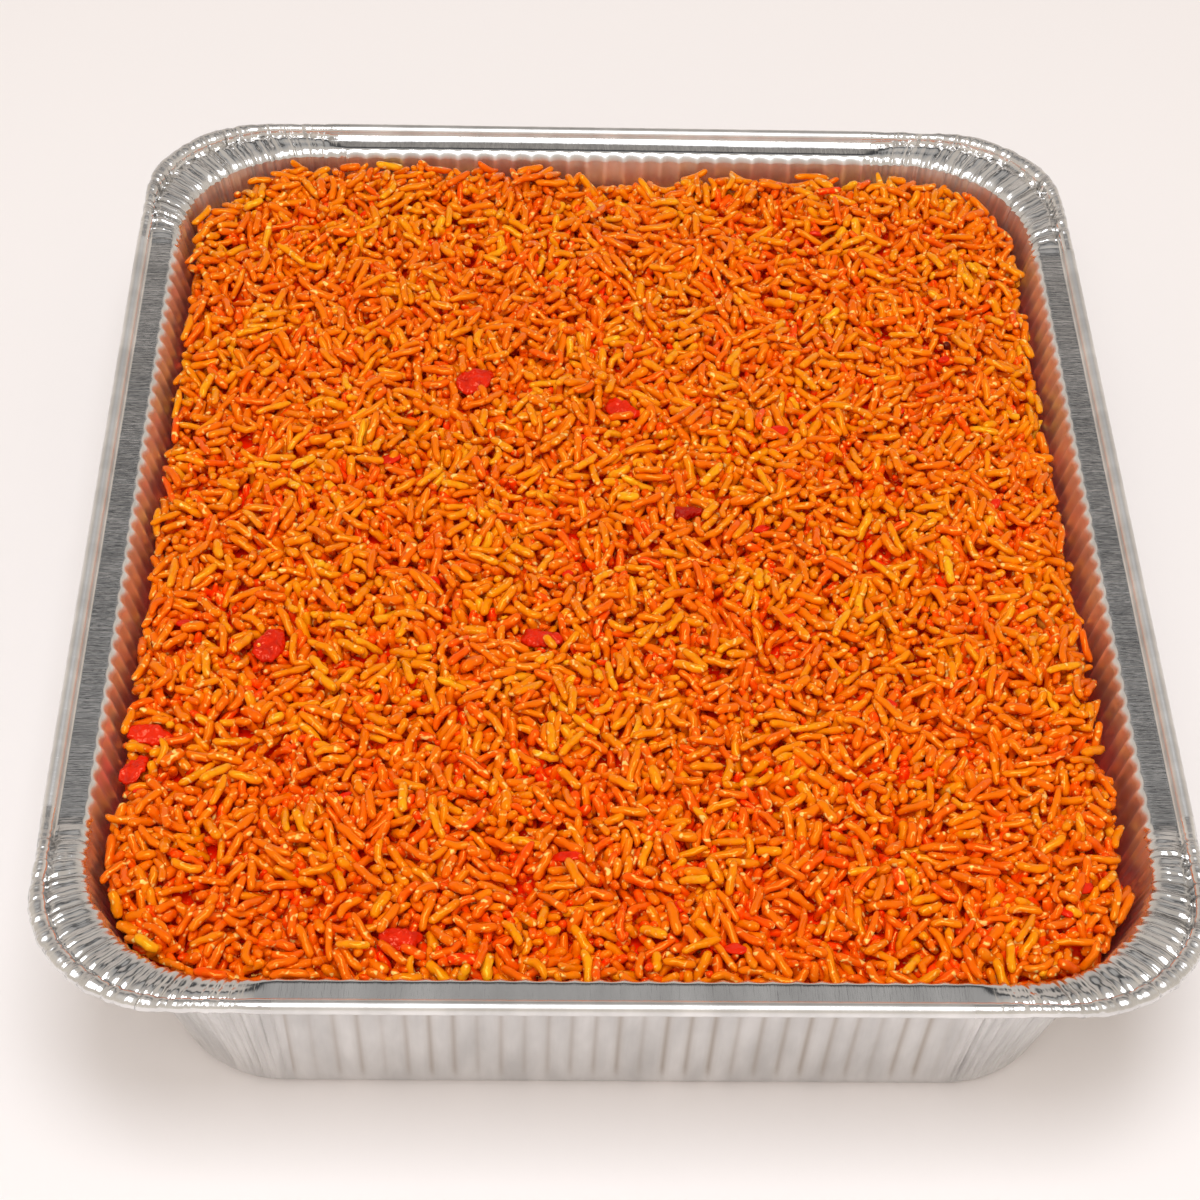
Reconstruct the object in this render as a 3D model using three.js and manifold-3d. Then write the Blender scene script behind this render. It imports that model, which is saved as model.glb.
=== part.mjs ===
// Jollof rice in a half-size deep foil pan, with the larger pieces of red pepper in it.
// Millimetres, +Z up. The origin is the middle of the pan's underside, X runs across the
// pan and Y along it. The pan is one thin tray, the rice is one heap that fills it to just
// below the rim, and each pepper piece lies in a pocket of its own in the heap.

import * as THREE from 'three';
import { mergeVertices } from 'three/addons/utils/BufferGeometryUtils.js';
import Module from 'manifold-3d';

const wasm = await Module();
wasm.setup();

// ---- Driving dimensions -------------------------------------------------------------

// Pan, outside sizes
const PAN_WIDTH = 264;
const PAN_LENGTH = 324;
const PAN_HEIGHT = 65;
const RIM_CORNER_RADIUS = 33;

// Rolled edge (bead), and the flat flange inside it
const BEAD_DIAMETER = 3.5;
const FLANGE_INNER_INSET = 11;
const FLANGE_DROP = 2.9;
const FLANGE_CORNER_RADIUS = 36;

// Wall, foot and base
const SHEET = 0.6;
const BASE_INSET = 27;
const BASE_CORNER_RADIUS = 28;
const FOOT_RADIUS = 2.5;

// Flutes pressed into the wall, and pleats gathered into the corners of the flange
const FLUTE_PITCH = 5.3;
const FLUTE_DEPTH = 0.9;
const CORNER_FLUTES = 12;
const PLEAT_HEIGHT = 0.5;

// Straight part of each wall, measured from its middle: the corners take up the rest
const STRAIGHT_HALF_X = 75.5;
const STRAIGHT_HALF_Y = 105.5;

// Rice: its height where it meets the wall, how far it rises inside, and how uneven it is
const CLEARANCE = 0.3;
const RICE_EDGE_Z = 53.5;
const RICE_EDGE_LOWEST = 47.5;
const RICE_RISE = 3.4;
const RICE_RISE_LENGTH = 9;
const RICE_SHOULDER = 1.2;
const RICE_RING_STEP = 12.5;

// Broad mounds and hollows of the heap: place, reach and height
const MOUNDS = [
  { x: -70, y: 150, reach: 26, height: 2.6 },
  { x: -30, y: 150, reach: 20, height: 2.2 },
  { x: 7, y: 146, reach: 11, height: -3.4 },
  { x: 52, y: 148, reach: 22, height: 1.8 },
  { x: 92, y: 138, reach: 20, height: 1.0 },
  { x: -104, y: 40, reach: 22, height: -0.9 },
  { x: 106, y: -60, reach: 22, height: 0.9 },
  { x: -60, y: -60, reach: 34, height: -0.7 },
  { x: 30, y: 30, reach: 40, height: 0.6 },
  { x: 60, y: -128, reach: 26, height: -0.8 },
];

// Ripples of the heap: wavelength along X and Y, and height
const RIPPLES = [
  { alongX: 47, alongY: 61, height: 0.45 },
  { alongX: 29, alongY: 37, height: 0.35 },
];

// Red pepper pieces: place, size, turn about Z and tilt about their own length, in degrees
const PEPPER_THICKNESS = 2.2;
const PEPPER_SINK = 0.1;
const POCKET_GROWTH = 0.55;
const PEPPER_PIECES = [
  { x: -111.5, y: -74, length: 12.5, width: 6.2, turn: -8, tilt: 18 },
  { x: -114, y: -84.5, length: 10, width: 6.5, turn: 68, tilt: -20 },
  { x: -84.5, y: -45, length: 13, width: 7.2, turn: 66, tilt: 16 },
  { x: -36.5, y: 54, length: 13, width: 8, turn: 40, tilt: 12 },
  { x: -18.5, y: -42.5, length: 11.5, width: 7, turn: -6, tilt: -8 },
  { x: 3, y: 43, length: 11.5, width: 6.8, turn: -24, tilt: 14 },
  { x: 18.5, y: 3, length: 9.8, width: 6, turn: 12, tilt: -14 },
  { x: -50, y: -136, length: 11, width: 7, turn: 8, tilt: 20 },
];

// Colours and finish of the three materials
const FOIL = { color: 0xc9c7c4, roughness: 0.3, metalness: 1 };
const RICE = { color: 0xe0660f, roughness: 0.45, metalness: 0 };
const PEPPER = { color: 0xcf2408, roughness: 0.3, metalness: 0 };

// ---- Rings: closed outlines of the pan at one height ---------------------------------

const PAN_HALF_X = PAN_WIDTH / 2;
const PAN_HALF_Y = PAN_LENGTH / 2;
const SECTIONS = 8;

// A point of a rounded rectangle. Even sections are the straight parts of the right, back,
// left and front walls, odd ones the corners after them. The share runs from 0 to 1 along
// the section, anticlockwise. The result also holds the outward normal.
function outlinePoint(ring, section, share) {
  const halfX = PAN_HALF_X - ring.inset;
  const halfY = PAN_HALF_Y - ring.inset;
  const quarter = Math.floor(section / 2);
  const mirrored = quarter % 2 === 1;
  const straight = section % 2 === 0;
  let x;
  let y;
  let angle;
  if (straight && !mirrored) {
    x = halfX;
    y = STRAIGHT_HALF_Y * (2 * share - 1);
    angle = 0;
  } else if (straight) {
    x = STRAIGHT_HALF_X * (1 - 2 * share);
    y = halfY;
    angle = Math.PI / 2;
  } else {
    [x, y, angle] = cornerPoint(halfX, halfY, ring.radius, mirrored ? 1 - share : share);
  }
  let normalX = Math.cos(angle);
  let normalY = Math.sin(angle);
  if (!straight && mirrored) {
    x = -x;
    normalX = -normalX;
  }
  const turned = quarter >= 2 ? -1 : 1;
  return {
    x: turned * x,
    y: turned * y,
    normalX: turned * normalX,
    normalY: turned * normalY,
    at: section + share,
  };
}

// The corner in the first quarter: a short straight, the arc, and a short straight.
function cornerPoint(halfX, halfY, radius, share) {
  const alongY = halfY - radius - STRAIGHT_HALF_Y;
  const alongX = halfX - radius - STRAIGHT_HALF_X;
  const arc = (Math.PI / 2) * radius;
  const way = share * (alongY + arc + alongX);
  if (way < alongY) {
    return [halfX, STRAIGHT_HALF_Y + way, 0];
  }
  if (way > alongY + arc) {
    return [halfX - radius - (way - alongY - arc), halfY, Math.PI / 2];
  }
  const angle = (way - alongY) / radius;
  const x = halfX - radius + radius * Math.cos(angle);
  const y = halfY - radius + radius * Math.sin(angle);
  return [x, y, angle];
}

// How many flutes one section has, an equal number on facing walls.
function flutesIn(section) {
  if (section % 2 === 1) {
    return CORNER_FLUTES;
  }
  const halfLength = section % 4 === 0 ? STRAIGHT_HALF_Y : STRAIGHT_HALF_X;
  return Math.round((2 * halfLength) / FLUTE_PITCH);
}

// A ring of points. Two points stand on each flute, one on its crest and one in its valley.
// A ring with no flutes keeps them at the corners only, where the pleats are.
function makeRing(ring) {
  const points = [];
  for (let section = 0; section < SECTIONS; section += 1) {
    const corner = section % 2 === 1;
    const fluted = corner || ring.flute > 0;
    const count = fluted ? 2 * flutesIn(section) : 2;
    for (let i = 0; i < count; i += 1) {
      const point = outlinePoint(ring, section, i / count);
      const crest = fluted && i % 2 === 1;
      const push = crest ? 0 : ring.flute;
      const lift = corner && crest ? ring.pleat : 0;
      points.push({
        x: point.x - push * point.normalX,
        y: point.y - push * point.normalY,
        z: ring.z + lift,
        at: point.at,
      });
    }
  }
  return points;
}

// ---- Skinning: triangles between rings that may hold different numbers of points ------

class Skin {
  constructor() {
    this.vertices = [];
    this.triangles = [];
  }

  addPoints(points) {
    const first = this.vertices.length;
    this.vertices.push(...points);
    return points.map((point, i) => ({ index: first + i, at: point.at }));
  }

  // Closes a ring with a fan, facing up at the start of a skin and down at its end.
  fan(centre, ring, facingUp) {
    const [{ index: middle }] = this.addPoints([centre]);
    ring.forEach((point, i) => {
      const next = ring[(i + 1) % ring.length];
      const edge = facingUp ? [point.index, next.index] : [next.index, point.index];
      this.triangles.push([middle, ...edge]);
    });
  }

  // Joins an inner (or lower) ring to the next one by stepping along whichever lags.
  band(from, to) {
    let i = 0;
    let j = 0;
    const placeOf = (ring, n) => ring[n % ring.length].at + (n >= ring.length ? SECTIONS : 0);
    while (i < from.length || j < to.length) {
      const a = from[i % from.length].index;
      const b = to[j % to.length].index;
      const nextFrom = i < from.length ? placeOf(from, i + 1) : Infinity;
      const nextTo = j < to.length ? placeOf(to, j + 1) : Infinity;
      if (nextFrom <= nextTo) {
        i += 1;
        this.triangles.push([a, b, from[i % from.length].index]);
      } else {
        j += 1;
        this.triangles.push([a, b, to[j % to.length].index]);
      }
    }
  }

  geometry() {
    const geometry = new THREE.BufferGeometry();
    const numbers = this.vertices.flatMap(({ x, y, z }) => [x, y, z]);
    geometry.setAttribute('position', new THREE.Float32BufferAttribute(numbers, 3));
    geometry.setIndex(this.triangles.flat());
    geometry.computeVertexNormals();
    return geometry;
  }
}

// A closed solid from a stack of rings that starts with an upward fan and ends with a
// downward one.
function skinRings(startZ, rings, endZ) {
  const skin = new Skin();
  const placed = rings.map((ring) => skin.addPoints(ring));
  skin.fan({ x: 0, y: 0, z: startZ }, placed[0], true);
  for (let i = 1; i < placed.length; i += 1) {
    skin.band(placed[i - 1], placed[i]);
  }
  skin.fan({ x: 0, y: 0, z: endZ }, placed[placed.length - 1], false);
  return skin.geometry();
}

// ---- Foil pan ------------------------------------------------------------------------

const FLANGE_TOP = PAN_HEIGHT - FLANGE_DROP;
const FLANGE_UNDER = FLANGE_TOP - SHEET;
const WALL_TOP_INSET = FLANGE_INNER_INSET - SHEET;
const FLUTE_START_Z = 8;
const FLUTE_END_Z = FLANGE_UNDER - 2.5;

// Inset of the wall's outer face at a height, with no flutes.
function wallInset(z) {
  return THREE.MathUtils.mapLinear(z, 0, FLANGE_UNDER, BASE_INSET, WALL_TOP_INSET);
}

// Corner radius of the wall at a height.
function wallRadius(z) {
  return THREE.MathUtils.mapLinear(z, 0, FLANGE_UNDER, BASE_CORNER_RADIUS, FLANGE_CORNER_RADIUS);
}

function wallRing(z, thickness, flute) {
  return makeRing({
    inset: wallInset(z) + thickness,
    radius: wallRadius(z) - thickness,
    z,
    flute,
    pleat: 0,
  });
}

function rimRing(inset, z, pleat) {
  const share = inset / FLANGE_INNER_INSET;
  const radius = THREE.MathUtils.lerp(RIM_CORNER_RADIUS, FLANGE_CORNER_RADIUS, share);
  return makeRing({ inset, radius, z, flute: 0, pleat });
}

function footRing(z, thickness) {
  const inset = BASE_INSET + FOOT_RADIUS + thickness;
  return makeRing({ inset, radius: BASE_CORNER_RADIUS - FOOT_RADIUS, z, flute: 0, pleat: 0 });
}

// The rolled edge is a round tube seen in section, met by the flange low on its inside.
function beadRings() {
  const radius = BEAD_DIAMETER / 2;
  const rings = [rimRing(BEAD_DIAMETER, FLANGE_TOP, PLEAT_HEIGHT)];
  const facets = 6;
  for (let i = 0; i <= facets; i += 1) {
    const angle = (Math.PI * 1.5 * i) / facets;
    const inset = radius + radius * Math.cos(angle);
    const z = PAN_HEIGHT - radius + radius * Math.sin(angle);
    rings.push(rimRing(inset, z, 0));
  }
  rings.push(rimRing(BEAD_DIAMETER, FLANGE_UNDER, PLEAT_HEIGHT));
  return rings;
}

function foilPan() {
  const inside = [
    footRing(SHEET, SHEET),
    wallRing(FOOT_RADIUS + SHEET, SHEET, 0),
    wallRing(FLUTE_START_Z, SHEET, FLUTE_DEPTH),
    wallRing(FLUTE_END_Z, SHEET, FLUTE_DEPTH),
    rimRing(FLANGE_INNER_INSET, FLANGE_TOP, 0),
  ];
  const outside = [
    rimRing(WALL_TOP_INSET, FLANGE_UNDER, 0),
    wallRing(FLUTE_END_Z, 0, FLUTE_DEPTH),
    wallRing(FLUTE_START_Z, 0, FLUTE_DEPTH),
    wallRing(FOOT_RADIUS, 0, 0),
    footRing(0, 0),
  ];
  return skinRings(SHEET, [...inside, ...beadRings(), ...outside], 0);
}

// ---- Rice heap -----------------------------------------------------------------------

const HEAP_BOTTOM = SHEET + CLEARANCE;
const HEAP_FOOT = FOOT_RADIUS + SHEET + CLEARANCE;
const HEAP_OFF_WALL = SHEET + FLUTE_DEPTH + CLEARANCE;

// The heap follows the wall, clear of its flutes, up to where its lowest edge lies.
function heapSide(z) {
  return { inset: wallInset(z) + HEAP_OFF_WALL, radius: wallRadius(z) - HEAP_OFF_WALL };
}

const HEAP_EDGE = heapSide(RICE_EDGE_LOWEST);

// Height of the heap's top at a place, and how far that place is from the heap's edge.
function heapTop(x, y, fromEdge) {
  const rise = RICE_RISE * (1 - Math.exp(-fromEdge / RICE_RISE_LENGTH));
  let height = RICE_EDGE_Z + rise;
  for (const mound of MOUNDS) {
    const away = Math.hypot(x - mound.x, y - mound.y) / mound.reach;
    height += mound.height * Math.exp(-away * away);
  }
  for (const { alongX, alongY, height: ripple } of RIPPLES) {
    const turn = 2 * Math.PI;
    height += ripple * Math.sin((turn * x) / alongX) * Math.cos((turn * y) / alongY);
  }
  return height;
}

// Shortest way from a place to the straight walls, near enough for the middle of the pan.
function distanceFromEdge(x, y) {
  const gapX = PAN_HALF_X - HEAP_EDGE.inset - Math.abs(x);
  const gapY = PAN_HALF_Y - HEAP_EDGE.inset - Math.abs(y);
  return Math.max(0, Math.min(gapX, gapY));
}

// A plain rounded ring with few points, for the heap.
function heapRing(ring, heightAt) {
  const points = [];
  for (let section = 0; section < SECTIONS; section += 1) {
    const start = outlinePoint(ring, section, 0);
    const end = outlinePoint(ring, section, 1);
    const span = Math.hypot(end.x - start.x, end.y - start.y);
    const count = Math.max(1, Math.round(span / RICE_RING_STEP));
    for (let i = 0; i < count; i += 1) {
      const { x, y, at } = outlinePoint(ring, section, i / count);
      points.push({ x, y, z: heightAt(x, y), at });
    }
  }
  return points;
}

// A ring of the heap's top, a given way in from its edge.
function topRing(fromEdge) {
  const ring = { inset: HEAP_EDGE.inset + fromEdge, radius: HEAP_EDGE.radius - fromEdge };
  return heapRing(ring, (x, y) => heapTop(x, y, fromEdge));
}

// Rings nearer the middle than the straights reach are scaled from the last full one.
function scaledRing(outer, share) {
  return outer.map(({ x, y, at }) => {
    const point = { x: x * share, y: y * share, at };
    point.z = heapTop(point.x, point.y, distanceFromEdge(point.x, point.y));
    return point;
  });
}

function riceHeap() {
  const base = heapSide(0);
  const bottom = heapRing({
    inset: base.inset + FOOT_RADIUS,
    radius: base.radius - FOOT_RADIUS,
  }, () => HEAP_BOTTOM);
  const foot = heapRing(heapSide(HEAP_FOOT), () => HEAP_FOOT);
  const lip = heapRing(HEAP_EDGE, (x, y) => heapTop(x, y, 0) - RICE_SHOULDER);
  const rings = [bottom, foot, lip, topRing(RICE_SHOULDER), topRing(5), topRing(10)];
  const outer = rings[rings.length - 1];
  const steps = 10;
  for (let step = 1; step < steps; step += 1) {
    const ring = scaledRing(outer, 1 - step / steps);
    const keep = Math.ceil(step / 3);
    rings.push(ring.filter((point, i) => i % keep === 0));
  }
  return skinRings(heapTop(0, 0, PAN_HALF_X), rings.reverse(), HEAP_BOTTOM);
}

// ---- Red pepper pieces ---------------------------------------------------------------

// A curved flake with a rounded, slightly three-cornered outline, thickest in the middle.
function pepperFlake(length, width, thickness, grow) {
  const sides = 14;
  const skin = new Skin();
  const ringAt = (spread, z) => {
    const points = [];
    for (let i = 0; i < sides; i += 1) {
      const angle = (2 * Math.PI * i) / sides;
      const lobe = 1 + 0.1 * Math.cos(3 * angle);
      const x = (length / 2) * lobe * spread * Math.cos(angle);
      const y = (width / 2) * lobe * spread * Math.sin(angle);
      const sag = (thickness * x * x) / (length * length);
      const away = Math.hypot(x, y) || 1;
      points.push({
        x: x + (grow * x) / away,
        y: y + (grow * y) / away,
        z: z - sag,
        at: (SECTIONS * i) / sides,
      });
    }
    return skin.addPoints(points);
  };
  const half = thickness / 2;
  const top = ringAt(0.72, half + grow);
  const rim = ringAt(1, 0.15 * half);
  const under = ringAt(0.74, -half - grow);
  skin.fan({ x: 0, y: 0, z: half + grow }, top, true);
  skin.band(top, rim);
  skin.band(rim, under);
  skin.fan({ x: 0, y: 0, z: -half - grow }, under, false);
  return skin.geometry();
}

function placePepper(mesh, piece) {
  const top = heapTop(piece.x, piece.y, distanceFromEdge(piece.x, piece.y));
  mesh.position.set(piece.x, piece.y, top - PEPPER_SINK);
  mesh.rotation.set(
    THREE.MathUtils.degToRad(piece.tilt),
    0,
    THREE.MathUtils.degToRad(piece.turn),
    'ZYX',
  );
  mesh.updateMatrixWorld(true);
  return mesh;
}

// ---- Boolean cut of the pockets --------------------------------------------------------

function toSolid(geometry) {
  const bare = geometry.clone();
  bare.deleteAttribute('normal');
  const merged = mergeVertices(bare);
  return new wasm.Manifold(new wasm.Mesh({
    numProp: 3,
    vertProperties: new Float32Array(merged.attributes.position.array),
    triVerts: new Uint32Array(merged.index.array),
  }));
}

function toGeometry(solid) {
  const { vertProperties, triVerts } = solid.getMesh();
  const geometry = new THREE.BufferGeometry();
  geometry.setAttribute('position', new THREE.BufferAttribute(vertProperties, 3));
  geometry.setIndex(new THREE.BufferAttribute(triVerts, 1));
  geometry.computeVertexNormals();
  return geometry;
}

// ---- Assembly --------------------------------------------------------------------------

function named(name, geometry, finish) {
  const mesh = new THREE.Mesh(geometry, new THREE.MeshStandardMaterial(finish));
  mesh.name = name;
  return mesh;
}

const dish = new THREE.Group();
dish.add(named('foil_pan', foilPan(), FOIL));

let heap = toSolid(riceHeap());
PEPPER_PIECES.forEach((piece, i) => {
  const { length, width } = piece;
  const flake = pepperFlake(length, width, PEPPER_THICKNESS, 0);
  const mesh = placePepper(named(`red_pepper_${i + 1}`, flake, PEPPER), piece);
  dish.add(mesh);
  const pocket = pepperFlake(length, width, PEPPER_THICKNESS, POCKET_GROWTH);
  heap = heap.subtract(toSolid(pocket.applyMatrix4(mesh.matrixWorld)));
});
dish.add(named('rice_heap', toGeometry(heap), RICE));

export default dish;
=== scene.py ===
# %% [markdown]
# # A foil pan of jollof rice
# This lesson builds a half-size catering pan of jollof rice in Blender: a thin pressed foil
# pan, a heap of cooked long-grain rice, and bits of red pepper in it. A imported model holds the
# real sizes, so nothing here is moved or resized to fit. Lengths are written in millimetres
# and turned into metres where a mesh is made.

# %% Load the frame
import math

import bmesh
import bpy
import numpy as np
from mathutils import Matrix, Vector, noise
from mathutils.bvhtree import BVHTree


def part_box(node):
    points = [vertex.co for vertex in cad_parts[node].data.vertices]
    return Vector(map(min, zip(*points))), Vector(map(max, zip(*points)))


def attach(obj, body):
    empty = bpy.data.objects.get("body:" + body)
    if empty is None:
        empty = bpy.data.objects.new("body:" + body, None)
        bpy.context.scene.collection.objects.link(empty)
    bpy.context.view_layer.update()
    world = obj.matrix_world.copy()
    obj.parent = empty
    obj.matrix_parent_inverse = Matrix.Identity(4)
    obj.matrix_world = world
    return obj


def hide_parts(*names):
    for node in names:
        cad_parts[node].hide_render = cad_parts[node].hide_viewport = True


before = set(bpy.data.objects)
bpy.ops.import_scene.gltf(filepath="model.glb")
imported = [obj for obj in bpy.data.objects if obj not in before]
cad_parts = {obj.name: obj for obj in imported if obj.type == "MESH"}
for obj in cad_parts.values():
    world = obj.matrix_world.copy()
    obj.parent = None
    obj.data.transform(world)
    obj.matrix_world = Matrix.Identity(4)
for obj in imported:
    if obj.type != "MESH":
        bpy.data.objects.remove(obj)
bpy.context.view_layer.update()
MM = 0.001
pan_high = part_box("foil_pan")[1]
PAN_HALF_X = pan_high.x / MM
PAN_HALF_Y = pan_high.y / MM
PAN_HEIGHT = pan_high.z / MM
print(f"pan {2 * PAN_HALF_X:.0f} x {2 * PAN_HALF_Y:.0f} x {PAN_HEIGHT:.0f} mm")

# %% [markdown]
# ## Helpers
# Blender can make a mesh from plain lists of points and faces, and a material or a Geometry
# Nodes tree from nodes joined by links. One helper does each of these jobs, so that the cells
# below only say what the piece is. Colours are written as the sRGB hex values that a colour
# picker shows, and one function turns them into the linear values that the shaders need.

# %% Mesh, colour and node helpers
def mesh_object(name, points, faces, smooth=True):
    """A new object from points in millimetres."""
    mesh = bpy.data.meshes.new(name)
    mesh.from_pydata((np.asarray(points) * MM).tolist(), [], faces)
    mesh.polygons.foreach_set("use_smooth", [smooth] * len(mesh.polygons))
    mesh.update()
    made = bpy.data.objects.new(name, mesh)
    bpy.context.collection.objects.link(made)
    return made


def store(mesh, name, kind, values):
    """Keeps one number, or one vector, for every point of a mesh under a name."""
    layer = mesh.attributes.new(name, kind, "POINT")
    key = "vector" if kind == "FLOAT_VECTOR" else "value"
    layer.data.foreach_set(key, np.asarray(values, np.float32).ravel())


def linear(hex_colour):
    """An sRGB hex colour as the linear colour that a shader takes."""
    parts = [int(hex_colour[i:i + 2], 16) / 255 for i in (1, 3, 5)]
    return [p / 12.92 if p <= 0.04045 else ((p + 0.055) / 1.055) ** 2.4 for p in parts] + [1.0]


def add_node(tree, kind, feeds=None, stops=(), **settings):
    """Adds a node, sets it up, links or fills the sockets in feeds, and places ramp stops."""
    made = tree.nodes.new(kind)
    for name, value in settings.items():
        setattr(made, name, value)
    for socket, feed in (feeds or {}).items():
        if isinstance(feed, bpy.types.NodeSocket):
            tree.links.new(feed, made.inputs[socket])
        else:
            made.inputs[socket].default_value = feed
    for position, colour in stops[2:]:
        made.color_ramp.elements.new(position)
    for i, (position, colour) in enumerate(stops):
        made.color_ramp.elements[i].position = position
        made.color_ramp.elements[i].color = colour
    return made


def new_material(name):
    """An empty material, with its tree and its output node."""
    made = bpy.data.materials.new(name)
    made.use_nodes = True
    made.node_tree.nodes.clear()
    return made, made.node_tree, add_node(made.node_tree, "ShaderNodeOutputMaterial")


def grey(value):
    return (value, value, value, 1.0)


# In a Mix node the colour sockets are numbers 6 and 7, and the mixed colour is output 2.
FIRST, SECOND, MIXED = 6, 7, 2


# %% [markdown]
# ## Camera, floor and light
# Catering food is often shot from about 45 degrees above on a white sweep. The camera looks
# down 44.7 degrees with a slightly long lens. One big soft box hangs almost overhead, a little
# in front of the pan, so that the shadow under the front rim is short and soft, and a weaker
# one stands further forward. Foil is a mirror, so what stands round it matters as much as the
# lamps. Behind the pan the studio's sky has a dark band half-way up, which the flat rim
# mirrors. A plain even sky would leave the foil a flat grey.

# %% Camera
CAMERA_PLACE = Vector((-0.023, -0.534, 0.557))
CAMERA_PITCH = math.radians(44.7)
CAMERA_YAW = math.radians(2.19)
CAMERA_ROLL = math.radians(-2.10)
CAMERA_LENS = 85.5

ahead = Vector((math.sin(CAMERA_YAW) * math.cos(CAMERA_PITCH),
                math.cos(CAMERA_YAW) * math.cos(CAMERA_PITCH),
                -math.sin(CAMERA_PITCH)))
level_right = Vector((math.cos(CAMERA_YAW), -math.sin(CAMERA_YAW), 0))
level_down = ahead.cross(level_right)
right = math.cos(CAMERA_ROLL) * level_right + math.sin(CAMERA_ROLL) * level_down
down = -math.sin(CAMERA_ROLL) * level_right + math.cos(CAMERA_ROLL) * level_down

camera_data = bpy.data.cameras.new("camera")
camera_data.lens = CAMERA_LENS
camera_data.sensor_width = 36
camera_data.clip_start = 0.01
camera = bpy.data.objects.new("camera", camera_data)
camera.matrix_world = Matrix.Translation(CAMERA_PLACE) @ Matrix(
    (right, -down, -ahead)).transposed().to_4x4()
bpy.context.collection.objects.link(camera)
bpy.context.scene.camera = camera
print("camera at", [round(c, 3) for c in CAMERA_PLACE])

# %% Floor
FLOOR_HALF = 2500
floor = mesh_object("floor", [(-FLOOR_HALF, -FLOOR_HALF, 0), (FLOOR_HALF, -FLOOR_HALF, 0),
                              (FLOOR_HALF, FLOOR_HALF, 0), (-FLOOR_HALF, FLOOR_HALF, 0)],
                    [(0, 1, 2, 3)], smooth=False)
paper, tree, output = new_material("white_paper_sweep")
paper_shader = add_node(tree, "ShaderNodeBsdfPrincipled",
                        {"Base Color": linear("#F8F3F2"), "Roughness": 0.7,
                         "Specular IOR Level": 0.2})
tree.links.new(paper_shader.outputs[0], output.inputs[0])
floor.data.materials.append(paper)

# %% Light
# Stops by how high the sky is, as the sine of the angle above the floor.
OPEN_SKY = [(0.0, linear("#EDE3D6")), (0.5, linear("#D9CFC4")), (1.0, linear("#D0C9C1"))]
BACK_SKY = [
    (0.46, linear("#D2C9C1")),
    (0.56, linear("#BDB7B1")),
    (0.62, linear("#464648")),
    (0.71, linear("#404144")),
    (0.77, linear("#B4B2B0")),
    (0.84, linear("#B4B2B0")),
]
SKY_STRENGTH = 0.97

world = bpy.data.worlds.new("studio")
world.use_nodes = True
sky = world.node_tree
sky.nodes.clear()
looking = add_node(sky, "ShaderNodeTexCoord")
toward = add_node(sky, "ShaderNodeSeparateXYZ", {0: looking.outputs["Generated"]})
sideways = add_node(sky, "ShaderNodeMath", {0: toward.outputs["X"]}, operation="ABSOLUTE")
behind = add_node(sky, "ShaderNodeValToRGB", {0: toward.outputs["Y"]},
                  stops=[(0.25, grey(0)), (0.50, grey(1))])
centred = add_node(sky, "ShaderNodeValToRGB", {0: sideways.outputs[0]},
                   stops=[(0.34, grey(1)), (0.62, grey(0))])
back_part = add_node(sky, "ShaderNodeMix",
                     {0: 1.0, FIRST: behind.outputs[0], SECOND: centred.outputs[0]},
                     data_type="RGBA", blend_type="MULTIPLY")
open_sky = add_node(sky, "ShaderNodeValToRGB", {0: toward.outputs["Z"]}, stops=OPEN_SKY)
back_sky = add_node(sky, "ShaderNodeValToRGB", {0: toward.outputs["Z"]}, stops=BACK_SKY)
sky_colour = add_node(sky, "ShaderNodeMix",
                      {0: back_part.outputs[MIXED], FIRST: open_sky.outputs[0],
                       SECOND: back_sky.outputs[0]}, data_type="RGBA")
glow = add_node(sky, "ShaderNodeBackground", {"Color": sky_colour.outputs[MIXED],
                                                "Strength": SKY_STRENGTH})
add_node(sky, "ShaderNodeOutputWorld", {0: glow.outputs[0]})
bpy.context.scene.world = world
bpy.context.scene.view_settings.view_transform = "Standard"


def soft_box(name, place, aim, size, watts, colour):
    """A square soft box that faces a point."""
    lamp = bpy.data.lights.new(name, "AREA")
    lamp.shape = "SQUARE"
    lamp.size = size
    lamp.energy = watts
    lamp.color = linear(colour)[:3]
    made = bpy.data.objects.new(name, lamp)
    made.location = place
    made.rotation_euler = (Vector(place) - Vector(aim)).to_track_quat("Z", "Y").to_euler()
    bpy.context.collection.objects.link(made)


soft_box("top_box", (0, -0.46, 1.6), (0, 0, 0), 0.70, 12.5, "#F4F9FF")
soft_box("front_box", (-0.35, -1.25, 1.7), (0, -0.1, 0), 0.6, 6, "#FCFCFF")

# %% [markdown]
# ## The foil pan: its outline
# The real pan is stamped from one sheet of thin aluminium foil. The sheet has to gather
# somewhere when it is pressed down, so its walls carry upright flutes and its corners fine
# pleats. It could be modelled by hand from a box, but every part of it follows one rounded
# rectangle that shrinks towards the base. So the mesh is worked out as columns of points that
# run round the pan, and rows that run from the base up the wall and over the rim.

# %% Columns of points round the pan
# Insets are measured inwards from the pan's outer edge, in millimetres.
FLANGE_INSET = 11
RIM_CORNER_RADIUS = 33
FLANGE_CORNER_RADIUS = 36
BASE_CORNER_RADIUS = 28
STRAIGHT_HALF_X = 75.5
STRAIGHT_HALF_Y = 105.5
FLUTES_ALONG_Y = 40
FLUTES_ALONG_X = 28
CORNER_PLEATS = 27
POINTS_PER_FLUTE = 6
SECTIONS = 8


def pleats_in(section):
    if section % 2:
        return CORNER_PLEATS
    return FLUTES_ALONG_Y if section % 4 == 0 else FLUTES_ALONG_X


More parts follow.
